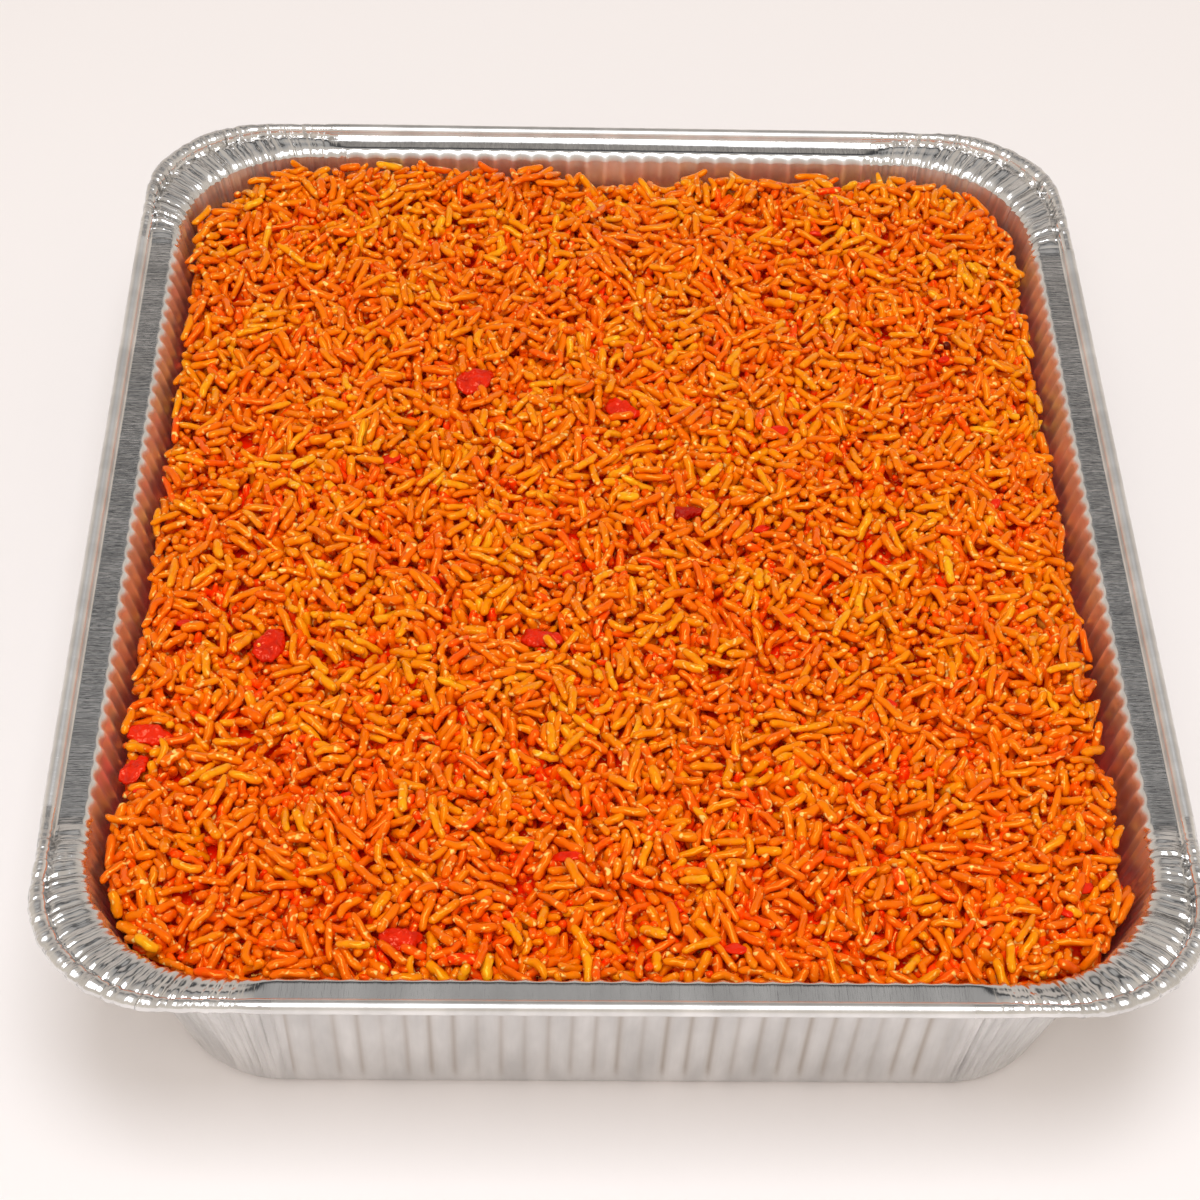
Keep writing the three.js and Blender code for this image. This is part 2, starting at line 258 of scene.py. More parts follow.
column_section = np.concatenate([np.full(pleats_in(k) * POINTS_PER_FLUTE, k)
                                 for k in range(SECTIONS)])
column_share = np.concatenate([np.arange(pleats_in(k) * POINTS_PER_FLUTE)
                               / (pleats_in(k) * POINTS_PER_FLUTE) for k in range(SECTIONS)])
COLUMNS = len(column_section)
print("columns round the pan:", COLUMNS)


def corner_path(half_x, half_y, radius, share):
    """Points and outward angles in the first corner: a straight, the arc and a straight."""
    along_y = half_y - radius - STRAIGHT_HALF_Y
    along_x = half_x - radius - STRAIGHT_HALF_X
    arc = math.pi / 2 * radius
    way = share * (along_y + arc + along_x)
    angle = np.clip((way - along_y) / radius, 0, math.pi / 2)
    x = half_x - radius + radius * np.cos(angle) - np.maximum(0, way - along_y - arc)
    y = half_y - radius + radius * np.sin(angle) + np.minimum(0, way - along_y)
    return x, y, angle


def outline(inset, radius, section=column_section, share=column_share):
    """Points and outward directions of the pan's outline, inset from its outer edge."""
    half_x = PAN_HALF_X - inset
    half_y = PAN_HALF_Y - inset
    quarter = section // 2
    mirrored = quarter % 2 == 1
    corner = section % 2 == 1
    corner_share = np.where(mirrored, 1 - share, share)
    corner_x, corner_y, corner_angle = corner_path(half_x, half_y, radius, corner_share)
    flip = np.where(mirrored, -1.0, 1.0)
    on_side = ~corner & ~mirrored
    x = np.where(corner, flip * corner_x, np.where(on_side, half_x,
                                                   STRAIGHT_HALF_X * (1 - 2 * share)))
    y = np.where(corner, corner_y, np.where(on_side, STRAIGHT_HALF_Y * (2 * share - 1), half_y))
    away_x = np.where(corner, flip * np.cos(corner_angle), np.where(on_side, 1.0, 0.0))
    away_y = np.where(corner, np.sin(corner_angle), np.where(on_side, 0.0, 1.0))
    turned = np.where(quarter >= 2, -1.0, 1.0)
    return turned * x, turned * y, turned * away_x, turned * away_y


# %% [markdown]
# ## The foil pan: its section
# Seen in section the foil goes from the flat base round a small foot, up the sloping wall, out
# over a soft lip to the flat flange, and then rolls into a bead that stands above the flange.
# The corners are gathered by hand-sized dies and never come out even, so each pleat gets its
# own height, and the bead is nipped at uneven steps there.

# %% Rows of the section
BASE_INSET = 27
WALL_TOP_INSET = 10.4
WALL_TOP_Z = 61.5
FOOT_RADIUS = 2.5
FOIL = 0.16
BEAD_RADIUS = 1.75
FLANGE_DROP = 2.9
FLANGE_Z = PAN_HEIGHT - FLANGE_DROP
LIP_START_Z = 60.0
LIP_ANGLES = (0, 18, 36, 52, 66, 79, 90)
FLAT_ROWS = 8
BEAD_ROWS = 15
LIP_RELIEF = 0.25
PLEAT_RELIEF = 0.22
# The bead's points stay this far inside the pan's packed size.
BEAD_GAP = FOIL + 0.03

in_corner = column_section % 2 == 1
corner_weight = np.where(in_corner, np.clip(np.minimum(column_share, 1 - column_share) / 0.13,
                                            0, 1), 0.0)
corner_weight = corner_weight ** 2 * (3 - 2 * corner_weight)


def wall_inset(z):
    return BASE_INSET + (WALL_TOP_INSET - BASE_INSET) * z / WALL_TOP_Z


def wall_radius(z):
    return BASE_CORNER_RADIUS + (FLANGE_CORNER_RADIUS - BASE_CORNER_RADIUS) * z / WALL_TOP_Z


def smooth_noise(count, step, seed):
    """One wavy number for each of a closed ring of columns, about -1 to 1."""
    knots = max(4, int(count / step))
    values = np.random.default_rng(seed).uniform(-1, 1, knots)
    place = np.arange(count) * knots / count
    low = place.astype(int) % knots
    blend = place - place.astype(int)
    blend = blend * blend * (3 - 2 * blend)
    return values[low] * (1 - blend) + values[(low + 1) % knots] * blend


pleat_turn = column_share * np.array([pleats_in(k) for k in range(SECTIONS)])[column_section]
pleat_turn = pleat_turn + np.where(in_corner, corner_weight * 0.45
                                   * smooth_noise(COLUMNS, 11, 3), 0)
pleat_number = np.floor(pleat_turn).astype(int) + 100 * column_section
pleat_size = np.random.default_rng(5).uniform(0.35, 1.35, 1000)[pleat_number % 1000]
pleat_size = np.where(in_corner, pleat_size, 1.0)
ridge = np.abs(np.sin(math.pi * pleat_turn))


def ring_points(inset, z, radius, push=0.0, lift=0.0):
    """One row: points round the pan, pushed outwards and lifted by the foil's relief."""
    x, y, away_x, away_y = outline(inset, radius)
    return np.stack([x + push * away_x, y + push * away_y,
                     np.broadcast_to(z + lift, x.shape)], axis=1)


def rim_radius(inset):
    return RIM_CORNER_RADIUS + (FLANGE_CORNER_RADIUS - RIM_CORNER_RADIUS) * np.clip(
        inset / FLANGE_INSET, 0, 1)


def wall_rows():
    """The base, foot and wall, as seen from outside and below."""
    rows = []
    for share in (0.5, 0.97):
        x, y, _, _ = outline(BASE_INSET + FOOT_RADIUS, BASE_CORNER_RADIUS - FOOT_RADIUS)
        rows.append(np.stack([x * share, y * share, np.zeros_like(x)], axis=1))
    for angle in np.radians((0, 25, 50, 72)):
        inset = wall_inset(0) + FOOT_RADIUS * (1 - math.sin(angle))
        z = FOOT_RADIUS * (1 - math.cos(angle))
        rows.append(ring_points(inset, z, BASE_CORNER_RADIUS - FOOT_RADIUS / 2))
    sway = 0.22 * smooth_noise(COLUMNS, 60, 7) + 0.12 * smooth_noise(COLUMNS, 23, 8)
    for z in np.linspace(FOOT_RADIUS + 0.6, LIP_START_Z, 26):
        bow = math.sin(math.pi * (z - FOOT_RADIUS) / (LIP_START_Z - FOOT_RADIUS))
        rows.append(ring_points(wall_inset(z), z, wall_radius(z), push=sway * bow))
    return rows


def rim_rows():
    """The lip, the flange and the rolled bead."""
    rows = []
    lip = 1.0 + 1.9 * corner_weight
    gather = corner_weight * pleat_size * (ridge - 0.5)
    rim_wave = 0.10 * smooth_noise(COLUMNS, 35, 9) + 0.05 * smooth_noise(COLUMNS, 13, 10)
    for angle in np.radians(LIP_ANGLES):
        share = math.sin(angle)
        z = LIP_START_Z + (FLANGE_Z - LIP_START_Z) * share
        inset = wall_inset(z) - lip * (1 - math.cos(angle))
        rows.append(ring_points(inset, z, rim_radius(FLANGE_INSET),
                                lift=LIP_RELIEF * share * gather + rim_wave * share))
    flange_start = inset
    bead_edge = 2 * BEAD_RADIUS + 0.25
    for share in np.linspace(0.14, 1, FLAT_ROWS):
        inset = flange_start + (bead_edge - flange_start) * share
        crown = corner_weight * 0.5 * math.sin(math.pi * share)
        rows.append(ring_points(inset, FLANGE_Z, rim_radius(inset),
                                lift=crown + PLEAT_RELIEF * gather + rim_wave))
    nip = corner_weight * (0.20 * smooth_noise(COLUMNS, 7, 11)
                           + 0.22 * smooth_noise(COLUMNS, 3, 12))
    flute = 0.035 * ridge
    for angle in np.radians(np.linspace(192, -95, BEAD_ROWS)):
        bead = (BEAD_RADIUS - FOIL) * (1 - 0.10 * corner_weight) * (1 + nip * 0.5) - flute
        inset = BEAD_RADIUS * (1 + 0.06 * corner_weight) - bead * math.cos(angle)
        inset = np.maximum(inset, BEAD_GAP)
        z = np.minimum(PAN_HEIGHT - BEAD_RADIUS + bead * math.sin(angle), PAN_HEIGHT - BEAD_GAP)
        rows.append(ring_points(inset, z, rim_radius(inset)))
    return rows


# %% [markdown]
# ## The foil pan: pressing the flutes
# Flutes are what repeats on this pan, so a Geometry Nodes tree presses them. Each point of the
# plain wall carries how many flutes lie before it and which way the die pushes it. The tree
# turns the first into a rounded wave and moves the point along the second. A bump in the
# material would be quicker, but foil flutes have real depth and show at the wall's edge.

# %% Geometry Nodes that press the flutes
def new_tree(name, inputs):
    """A Geometry Nodes tree with named inputs, and the node that hands them out."""
    tree = bpy.data.node_groups.new(name, "GeometryNodeTree")
    for label, kind in inputs.items():
        tree.interface.new_socket(label, in_out="INPUT", socket_type="NodeSocket" + kind)
    tree.interface.new_socket("Made", in_out="OUTPUT", socket_type="NodeSocketGeometry")
    return tree, add_node(tree, "NodeGroupInput")


def close_tree(tree, given, shape):
    """Ends a tree with real geometry in the given material."""
    real = add_node(tree, "GeometryNodeRealizeInstances", {0: shape.outputs[0]})
    finish = add_node(tree, "GeometryNodeSetMaterial", {0: real.outputs[0],
                                                        "Material": given.outputs["Material"]})
    add_node(tree, "NodeGroupOutput", {0: finish.outputs[0]})
    return tree


def press_tree():
    tree, given = new_tree("Press flutes", {"Foil": "Geometry", "Flute depth": "Float",
                                            "Material": "Material"})
    turn = add_node(tree, "GeometryNodeInputNamedAttribute", {"Name": "flute_turn"},
                    data_type="FLOAT")
    push = add_node(tree, "GeometryNodeInputNamedAttribute", {"Name": "flute_push"},
                    data_type="FLOAT_VECTOR")
    half_turns = add_node(tree, "ShaderNodeMath", {0: turn.outputs[0], 1: math.pi},
                          operation="MULTIPLY")
    wave = add_node(tree, "ShaderNodeMath", {0: half_turns.outputs[0]}, operation="SINE")
    crest = add_node(tree, "ShaderNodeMath", {0: wave.outputs[0]}, operation="ABSOLUTE")
    inward = add_node(tree, "ShaderNodeMath", {0: crest.outputs[0], 1: 1.0},
                      operation="SUBTRACT")
    depth = add_node(tree, "ShaderNodeMath", {0: inward.outputs[0],
                                              1: given.outputs["Flute depth"]},
                     operation="MULTIPLY")
    move = add_node(tree, "ShaderNodeVectorMath", {0: push.outputs[0],
                                                   "Scale": depth.outputs[0]},
                    operation="SCALE")
    moved = add_node(tree, "GeometryNodeSetPosition", {"Geometry": given.outputs["Foil"],
                                                       "Offset": move.outputs[0]})
    return close_tree(tree, given, moved)


def run_nodes(thing, tree, **inputs):
    """Runs a tree on an object and keeps the result as its plain mesh."""
    modifier = thing.modifiers.new(tree.name, "NODES")
    modifier.node_group = tree
    for item in tree.interface.items_tree:
        if item.in_out == "INPUT" and item.name in inputs:
            modifier[item.identifier] = inputs[item.name]
    evaluated = thing.evaluated_get(bpy.context.evaluated_depsgraph_get())
    made = bpy.data.meshes.new_from_object(evaluated)
    thing.modifiers.clear()
    old, thing.data = thing.data, made
    made.name = thing.name
    bpy.data.meshes.remove(old)
    return thing


# %% [markdown]
# ## Foil finish
# Pan foil is rolled aluminium, bright but not polished: a mirror with a fine blur from the
# rolling lines. Pressing leaves lines and small dents that catch the light, and makes the
# walls and the bead duller than the flat flange. It is a metal with the default IOR and a pale
# neutral colour. The relief is a bump that follows the pan through its own UV map, whose unit
# is one metre of foil. Real rolling lines are too fine to show, so they are drawn about 0.8 mm
# apart. Numbers stored on the mesh say where the foil was pressed and where it was gathered into
# creases. One more number marks the points between two flutes. Outside, where they are grooves,
# it paints shade there with a darker colour. Inside, where they are crests, it paints a highlight
# there in white. The pan's inside gets the same finish with another blur and that highlight.

# %% Rolled aluminium foil
FLAT_ROUGHNESS = 0.13
# How far each pattern is drawn out up the foil, its size in mm, detail, roughness, distortion
FOIL_PATTERNS = {
    "lines": (0.06, 0.8, 3.0, 0.7, 0.0),
    "dents": (0.25, 9, 3.0, 0.5, 0.0),
    "creases": (0.05, 2.4, 1.5, 0.5, 0.3),
}


def rolled_foil(name, pressed_roughness, painted_flute_light_tone):
    material, tree, output = new_material(name)
    place = add_node(tree, "ShaderNodeUVMap", uv_map="foil_metres")
    patterns = {}
    for pattern, (stretch, size, detail, roughness, distortion) in FOIL_PATTERNS.items():
        drawn_out = add_node(tree, "ShaderNodeMapping", {0: place.outputs[0],
                                                         "Scale": (1, stretch, 1)})
        made = add_node(tree, "ShaderNodeTexNoise",
                        {0: drawn_out.outputs[0], "Scale": 1 / (size * MM), "Detail": detail,
                         "Roughness": roughness, "Distortion": distortion})
        patterns[pattern] = made.outputs[0]
    gathered = add_node(tree, "ShaderNodeAttribute", attribute_name="gathered")
    gathers = add_node(tree, "ShaderNodeMath", {0: patterns["creases"],
                                                1: gathered.outputs["Fac"]},
                       operation="MULTIPLY")
    bump = None
    for height, strength, depth in ((patterns["lines"], 1.0, 0.09),
                                    (patterns["dents"], 0.5, 0.20),
                                    (gathers.outputs[0], 1.0, 2.2)):
        under = {"Normal": bump.outputs[0]} if bump else {}
        bump = add_node(tree, "ShaderNodeBump", {"Strength": strength, "Distance": depth * MM,
                                                 "Height": height, **under})
    tangent = add_node(tree, "ShaderNodeTangent", direction_type="UV_MAP",
                       uv_map="foil_metres")
    tone = add_node(tree, "ShaderNodeValToRGB", {0: patterns["dents"]},
                    stops=[(0.35, linear("#D6D5D4")), (0.7, linear("#EDECEB"))])
    pressed = add_node(tree, "ShaderNodeAttribute", attribute_name="pressed")
    blur = add_node(tree, "ShaderNodeMapRange", {0: pressed.outputs["Fac"],
                                                 3: FLAT_ROUGHNESS, 4: pressed_roughness})
    # Painted light at the flutes: the flute mark mixes in a darker colour outside, painted shade
    # in the grooves, and white inside, a painted highlight on the crests.
    groove = add_node(tree, "ShaderNodeAttribute", attribute_name="groove")
    shade = add_node(tree, "ShaderNodeMix",
                     {0: groove.outputs["Fac"], FIRST: tone.outputs[0],
                      SECOND: linear(painted_flute_light_tone)}, data_type="RGBA")
    shader = add_node(tree, "ShaderNodeBsdfPrincipled",
                      {"Base Color": shade.outputs[MIXED], "Metallic": 1.0,
                       "Roughness": blur.outputs[0], "Anisotropic": 0.55,
                       "Normal": bump.outputs[0], "Tangent": tangent.outputs[0]})
    tree.links.new(shader.outputs[0], output.inputs[0])
    return material


# Outside, the flute mark paints shade into the grooves with #C2BAB2. Inside, it paints a
# highlight on the crests in white.
foil = rolled_foil("rolled_aluminium_foil", 0.60, "#C2BAB2")
foil_inside = rolled_foil("pressed_aluminium_foil_inside", 0.48, "#FFFFFF")


# %% Skin the rows and press the flutes
def ring_faces(count, columns, first=0):
    """Quads between rings of points that turn anticlockwise, from the lowest ring upwards.

    The corner that a quad starts at sets the diagonal that it splits along.
    """
    start = np.arange(columns)
    after = (start + 1) % columns
    faces = []
    for low in range(0, (count - 1) * columns, columns):
        high = low + columns
        quads = np.stack([low + start, low + after, high + after, high + start], 1)
        faces += np.roll(quads, -first, axis=1).tolist()
    return faces, list(zip(start.tolist(), after.tolist()))


def skin(name, rows, closed_centre):
    """A mesh over rows of points, with its UV map in metres of foil."""
    points = np.concatenate(rows)
    count = len(rows)
    faces, pairs = ring_faces(count, COLUMNS, first=1)
    if closed_centre:
        points = np.concatenate([points, [[0, 0, points[0, 2]]]])
        faces += [(len(points) - 1, b, a) for a, b in pairs]
    made = mesh_object(name, points, faces)
    steps = np.linalg.norm(np.diff(np.stack(rows), axis=0), axis=2).mean(1)
    up = np.concatenate([[0], np.cumsum(steps)]) * MM
    rim_x, rim_y, _, _ = outline(FLANGE_INSET, FLANGE_CORNER_RADIUS)
    ring = np.stack([rim_x, rim_y], 1)
    round_steps = np.linalg.norm(np.roll(ring, -1, 0) - ring, axis=1)
    around = np.concatenate([[0], np.cumsum(round_steps)]) * MM
    layer = made.data.uv_layers.new(name="foil_metres")
    corner_point = np.empty(len(made.data.loops), int)
    made.data.loops.foreach_get("vertex_index", corner_point)
    column = corner_point % COLUMNS
    row = np.minimum(corner_point // COLUMNS, count - 1)
    u = around[column].copy()
    face_of_loop = np.repeat(np.arange(len(faces)), [len(f) for f in faces])
    crossing = (face_of_loop % COLUMNS == COLUMNS - 1) & (column == 0)
    u[crossing] = around[-1]
    layer.data.foreach_set("uv", np.stack([u, up[row]], 1).astype(np.float32).ravel())
    return made


# Flutes vary in depth round the wall. The points between two flutes carry painted light: painted
# shade in the grooves outside, and a painted highlight on the same points, the crests, inside.
CORNER_FLUTE = 0.85
STRAIGHT_FLUTE = 0.8
FLUTE_SPREAD = 0.25
CORNER_PAINTED_FLUTE_LIGHT = 0.25
BEAD_WORKED = 0.8
FLUTE_DEPTH = 0.95


def store_relief(thing, rows, fade, worked, corner_share=1.0):
    """Gives every point its flute number, its push, and how the foil was worked there."""
    _, _, away_x, away_y = outline(FLANGE_INSET, FLANGE_CORNER_RADIUS)
    extra = len(thing.data.vertices) - len(rows) * COLUMNS
    size = np.where(in_corner, pleat_size * CORNER_FLUTE,
                    STRAIGHT_FLUTE + FLUTE_SPREAD * smooth_noise(COLUMNS, 80, 15))
    turn, push, gathered, pressed = [], [], [], []
    for share, work in zip(fade, worked):
        amount = size * share
        pressed.append(work * np.where(in_corner, corner_share, 1.0))
        turn.append(pleat_turn)
        push.append(np.stack([away_x * amount, away_y * amount, np.zeros(COLUMNS)], 1))
        gathered.append(corner_weight)
    turn = np.concatenate(turn + [np.zeros(extra)])
    push = np.concatenate(push + [np.zeros((extra, 3))])
    gathered = np.concatenate(gathered + [np.zeros(extra)])
    pressed = np.concatenate(pressed + [np.zeros(extra)])
    store(thing.data, "flute_turn", "FLOAT", turn)
    store(thing.data, "flute_push", "FLOAT_VECTOR", push)
    store(thing.data, "gathered", "FLOAT", gathered)
    store(thing.data, "pressed", "FLOAT", pressed)
    # The flute mark for painted light: painted shade in the outside grooves and a painted
    # highlight on the inside crests, uneven from flute to flute and weaker in the corners.
    uneven = np.random.default_rng(6).uniform(0.25, 1.0, 1000)[
        np.round(pleat_turn + 100 * column_section).astype(int) % 1000]
    groove = np.where(in_corner, CORNER_PAINTED_FLUTE_LIGHT, 1.0) * uneven * np.clip(1 - 1.6 * ridge, 0, 1)
    groove = np.concatenate([groove * share for share in fade] + [np.zeros(extra)])
    store(thing.data, "groove", "FLOAT", groove)


def give_thickness(thing):
    """Makes the sheet a closed foil of real thickness, growing away from its outer face."""
    solidify = thing.modifiers.new("foil_thickness", "SOLIDIFY")
    solidify.thickness = FOIL * MM
    solidify.offset = -1
    solidify.material_offset = 1
    solidify.material_offset_rim = 1
    thing.data.materials.append(foil_inside)
    evaluated = thing.evaluated_get(bpy.context.evaluated_depsgraph_get())
    made = bpy.data.meshes.new_from_object(evaluated)
    made.set_sharp_from_angle(angle=math.radians(70))
    thing.modifiers.clear()
    thing.data = made


press = press_tree()
walls, rim = wall_rows(), rim_rows()
wall_heights = np.array([row[:, 2].mean() for row in walls])
wall_fade = np.clip((wall_heights - 4) / 5, 0, 1)
rim_fade = np.concatenate([np.cos(np.radians(LIP_ANGLES)), np.zeros(FLAT_ROWS + BEAD_ROWS)])
rim_worked = np.concatenate([rim_fade[:len(LIP_ANGLES)], np.zeros(FLAT_ROWS),
                             np.full(BEAD_ROWS, BEAD_WORKED)])

pan_wall = skin("pan_wall", walls, closed_centre=True)
store_relief(pan_wall, walls, wall_fade, np.ones(len(walls)))
pan_rim = skin("pan_rim", rim, closed_centre=False)
store_relief(pan_rim, rim, rim_fade, rim_worked, corner_share=0.4)
for part in (pan_wall, pan_rim):
    run_nodes(part, press, **{"Flute depth": FLUTE_DEPTH * MM, "Material": foil})
    give_thickness(part)
    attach(part, "root")
    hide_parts("foil_pan")
    print(part.name, len(part.data.polygons), "faces")

# %% [markdown]
# ## The heap: where the rice stands
# The imported model has the heap as one solid out to its uneven outline. Its top is read into a
# grid of heights, half a millimetre apart, by dropping a line on it at every fourth step and
# blending the heights between. That grid is the level to which loose grains are laid. Under them
# goes a smaller core, because grains that nobody can see would only cost memory.

# %% Read the heap's top into a grid
GRID_STEP = 0.5
heap_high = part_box("rice_heap")[1]
grid_x = np.arange(-122, 122.01, GRID_STEP)
grid_y = np.arange(-152, 152.01, GRID_STEP)


def heap_level():
    """Heights of the heap's top in millimetres, nearest known height outside it."""
    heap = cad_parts["rice_heap"]
    points = [v.co for v in heap.data.vertices]
    faces = [tuple(p.vertices) for p in heap.data.polygons]
    solid = BVHTree.FromPolygons(points, faces)
    coarse = 4
    level = np.full((len(grid_x[::coarse]), len(grid_y[::coarse])), np.nan)
    reach_x = heap_high.x / MM - 0.5
    reach_y = heap_high.y / MM - 0.5
    for i, x in enumerate(grid_x[::coarse]):
        for j, y in enumerate(grid_y[::coarse]):
            inside = Vector((np.clip(x, -reach_x, reach_x), np.clip(y, -reach_y, reach_y), 100))
            for shrink in (1.0, 0.97, 0.94, 0.90):
                start = Vector((inside.x * shrink, inside.y * shrink, inside.z)) * MM
                hit = solid.ray_cast(start, Vector((0, 0, -1)))[0]
                if hit is not None and hit.z > heap_high.z * 0.8:
                    level[i, j] = hit.z / MM
                    break
    level = np.where(np.isnan(level), np.nanmean(level), level)
    fine_x = np.arange(len(grid_x)) / coarse
    fine_y = np.arange(len(grid_y)) / coarse
    low_x = np.minimum(fine_x.astype(int), level.shape[0] - 2)
    low_y = np.minimum(fine_y.astype(int), level.shape[1] - 2)
    part_x = (fine_x - low_x)[:, None]
    part_y = (fine_y - low_y)[None, :]
    corner = [level[np.ix_(low_x + a, low_y + b)] for a in (0, 1) for b in (0, 1)]
    near = corner[0] * (1 - part_y) + corner[1] * part_y
    far = corner[2] * (1 - part_y) + corner[3] * part_y
    return near * (1 - part_x) + far * part_x


level = heap_level()
print(f"heap level {level.min():.1f} to {level.max():.1f} mm")


# %% Where a grain fits between the walls
def distance_inside(x, y, inset, radius):
    """How far places are inside a rounded rectangle, in millimetres."""
    half_x, half_y = PAN_HALF_X - inset, PAN_HALF_Y - inset
    over_x = np.abs(x) - (half_x - radius)
    over_y = np.abs(y) - (half_y - radius)
    outside = np.hypot(np.maximum(over_x, 0), np.maximum(over_y, 0))
    return radius - outside - np.minimum(np.maximum(over_x, over_y), 0)


FILL_Z = 52.0
FILL_INSET = wall_inset(FILL_Z) + FOIL + 0.8
WALL_SLOPE = 0.27
grid_places = np.meshgrid(grid_x, grid_y, indexing="ij")
from_wall = distance_inside(*grid_places, FILL_INSET, wall_radius(FILL_Z) - 0.7)
print("cells inside the walls:", int((from_wall > 0).sum()))

# %% [markdown]
# ## The heap: its core
# The core is a lumpy block of packed rice, set back from the walls and a few millimetres under
# the level. It only shows as the dark red-orange at the bottom of gaps between grains; its finish
# is mixed towards a deep red, painted shade for those gaps. Rings of points that close in on the
# middle are enough for it, each moved up or down a little.

# %% Packed rice core
CORE_DEPTH = 4.9
CORE_SET_BACK = 2.2
CORE_RINGS = 34
CORE_SECTION_POINTS = 28
# Heights of the side's rings, and how far each stands in from the wall
CORE_SIDE = ((1.2, 6.0), (8, 3.2), (38, 2.6))
CORE_EDGE_INSET = FILL_INSET + CORE_SET_BACK + 1.6
CORE_EDGE_RADIUS = wall_radius(43) - 2.5
CORE_EDGE_DROP = 3.5
CORE_LUMPS = 0.8


def packed_core():
    section = np.repeat(np.arange(SECTIONS), CORE_SECTION_POINTS)
    share = np.tile(np.arange(CORE_SECTION_POINTS) / CORE_SECTION_POINTS, SECTIONS)
    columns = len(section)
    draw = np.random.default_rng(21)

    def ring(inset, radius, z):
        x, y, _, _ = outline(inset, radius, section, share)
        return np.stack([x, y, np.broadcast_to(z, x.shape)], 1)

    rows = [ring(wall_inset(z) + gap, wall_radius(z) - gap, z) for z, gap in CORE_SIDE]
    edge = ring(CORE_EDGE_INSET, CORE_EDGE_RADIUS, 0)
    for k in range(CORE_RINGS):
        scale = 1 - k / CORE_RINGS
        x, y = edge[:, 0] * scale, edge[:, 1] * scale
        i = np.clip(((x - grid_x[0]) / GRID_STEP).astype(int), 0, len(grid_x) - 1)
        j = np.clip(((y - grid_y[0]) / GRID_STEP).astype(int), 0, len(grid_y) - 1)
        drop = CORE_DEPTH + (CORE_EDGE_DROP if k == 0 else 0) \
            + draw.uniform(-CORE_LUMPS, CORE_LUMPS, columns)
        rows.append(np.stack([x, y, level[i, j] - drop], 1))
    top_z, bottom_z = rows[-1][:, 2].mean(), CORE_SIDE[0][0]
    points = np.concatenate(rows + [[[0, 0, top_z], [0, 0, bottom_z]]])
    faces, pairs = ring_faces(len(rows), columns)
    last = (len(rows) - 1) * columns
    top, bottom = len(points) - 2, len(points) - 1
    faces += [(top, last + a, last + b) for a, b in pairs]
    faces += [(bottom, b, a) for a, b in pairs]
    return mesh_object("rice_core", points, faces)


rice_core = packed_core()
print("core faces:", len(rice_core.data.polygons))

# %% [markdown]
# ## Rice finish
# Parboiled rice cooked in tomato, pepper and oil comes out orange: golden where the grain shows
# through, deep red-orange where sauce gathers. A number stored on each grain moves its colour. It
# is random, and it is lower for grains that lie deep in the heap, a deeper red that paints the
# shade in the gaps, and lower for grains towards the front. A slow noise adds the sauce. Cooked
# starch lets light through, which would need subsurface scattering; bright saturated colours
# stand for it here and cost no time. Each grain keeps a thin film of oil, so it is glossy, and
# its skin is finely bumpy, which breaks a highlight up. One noise of 1.2 mm makes the bumps, the
# darker marks in them and pale painted glints on top of them, which stand in for small
# highlights. The core gets the same finish, mixed towards a deep red that paints the shade at the
# bottom of the gaps.

# %% Cooked jollof rice
SAUCE_PATCH = 26
SKIN_BUMP = 1.2
BUMP_DEPTH = 0.11


def cooked_rice(name, depth):
    material, tree, output = new_material(name)
    body = add_node(tree, "ShaderNodeTexCoord")
    tint = add_node(tree, "ShaderNodeAttribute", attribute_name="tint")
    patches = add_node(tree, "ShaderNodeTexNoise",
                       {0: body.outputs["Object"], "Scale": 1 / (SAUCE_PATCH * MM),
                        "Detail": 1.0})
    bumps = add_node(tree, "ShaderNodeTexNoise",
                     {0: body.outputs["Object"], "Scale": 1 / (SKIN_BUMP * MM), "Detail": 0.0})
    colour = add_node(tree, "ShaderNodeValToRGB", {0: tint.outputs["Fac"]},
                      stops=[(0.0, linear("#FF2C00")), (0.35, linear("#F46800")),
                             (0.70, linear("#F89400")), (1.0, linear("#FFB818"))]).outputs[0]
    sauce = add_node(tree, "ShaderNodeValToRGB", {0: patches.outputs[0]},
                     stops=[(0.40, grey(0.0)), (0.68, grey(0.55))])
    marks = add_node(tree, "ShaderNodeValToRGB", {0: bumps.outputs[0]},
                     stops=[(0.42, grey(0.0)), (0.66, grey(0.45))])
    # Painted glints: pale specks on the tops of the bumps that stand in for small highlights.
    painted_glints = add_node(tree, "ShaderNodeValToRGB", {0: bumps.outputs[0]},
                      stops=[(0.68, grey(0.0)), (0.74, grey(0.50)), (0.79, grey(0.90))])
    # The depth amount mixes in #FF1800, a deep red that paints shade. The core's copy of the
    # finish uses it for the bottom of the gaps.
    for amount, added in ((sauce.outputs[0], "#F85C00"), (marks.outputs[0], "#F86E04"),
                          (depth, "#FF1800"), (painted_glints.outputs[0], "#FFE07C")):
        mixed = add_node(tree, "ShaderNodeMix",
                         {0: amount, FIRST: colour, SECOND: linear(added)}, data_type="RGBA")
        colour = mixed.outputs[MIXED]
    bump = add_node(tree, "ShaderNodeBump", {"Strength": 1.0, "Distance": BUMP_DEPTH * MM,
                                             "Height": bumps.outputs[0]})
    shader = add_node(tree, "ShaderNodeBsdfPrincipled",
                      {"Base Color": colour, "Roughness": 0.10, "IOR": 1.46,
                       "Specular IOR Level": 1.0, "Specular Tint": linear("#FFC45A"),
                       "Normal": bump.outputs[0]})
    tree.links.new(shader.outputs[0], output.inputs[0])
    return material


rice = cooked_rice("cooked_jollof_rice", 0.0)
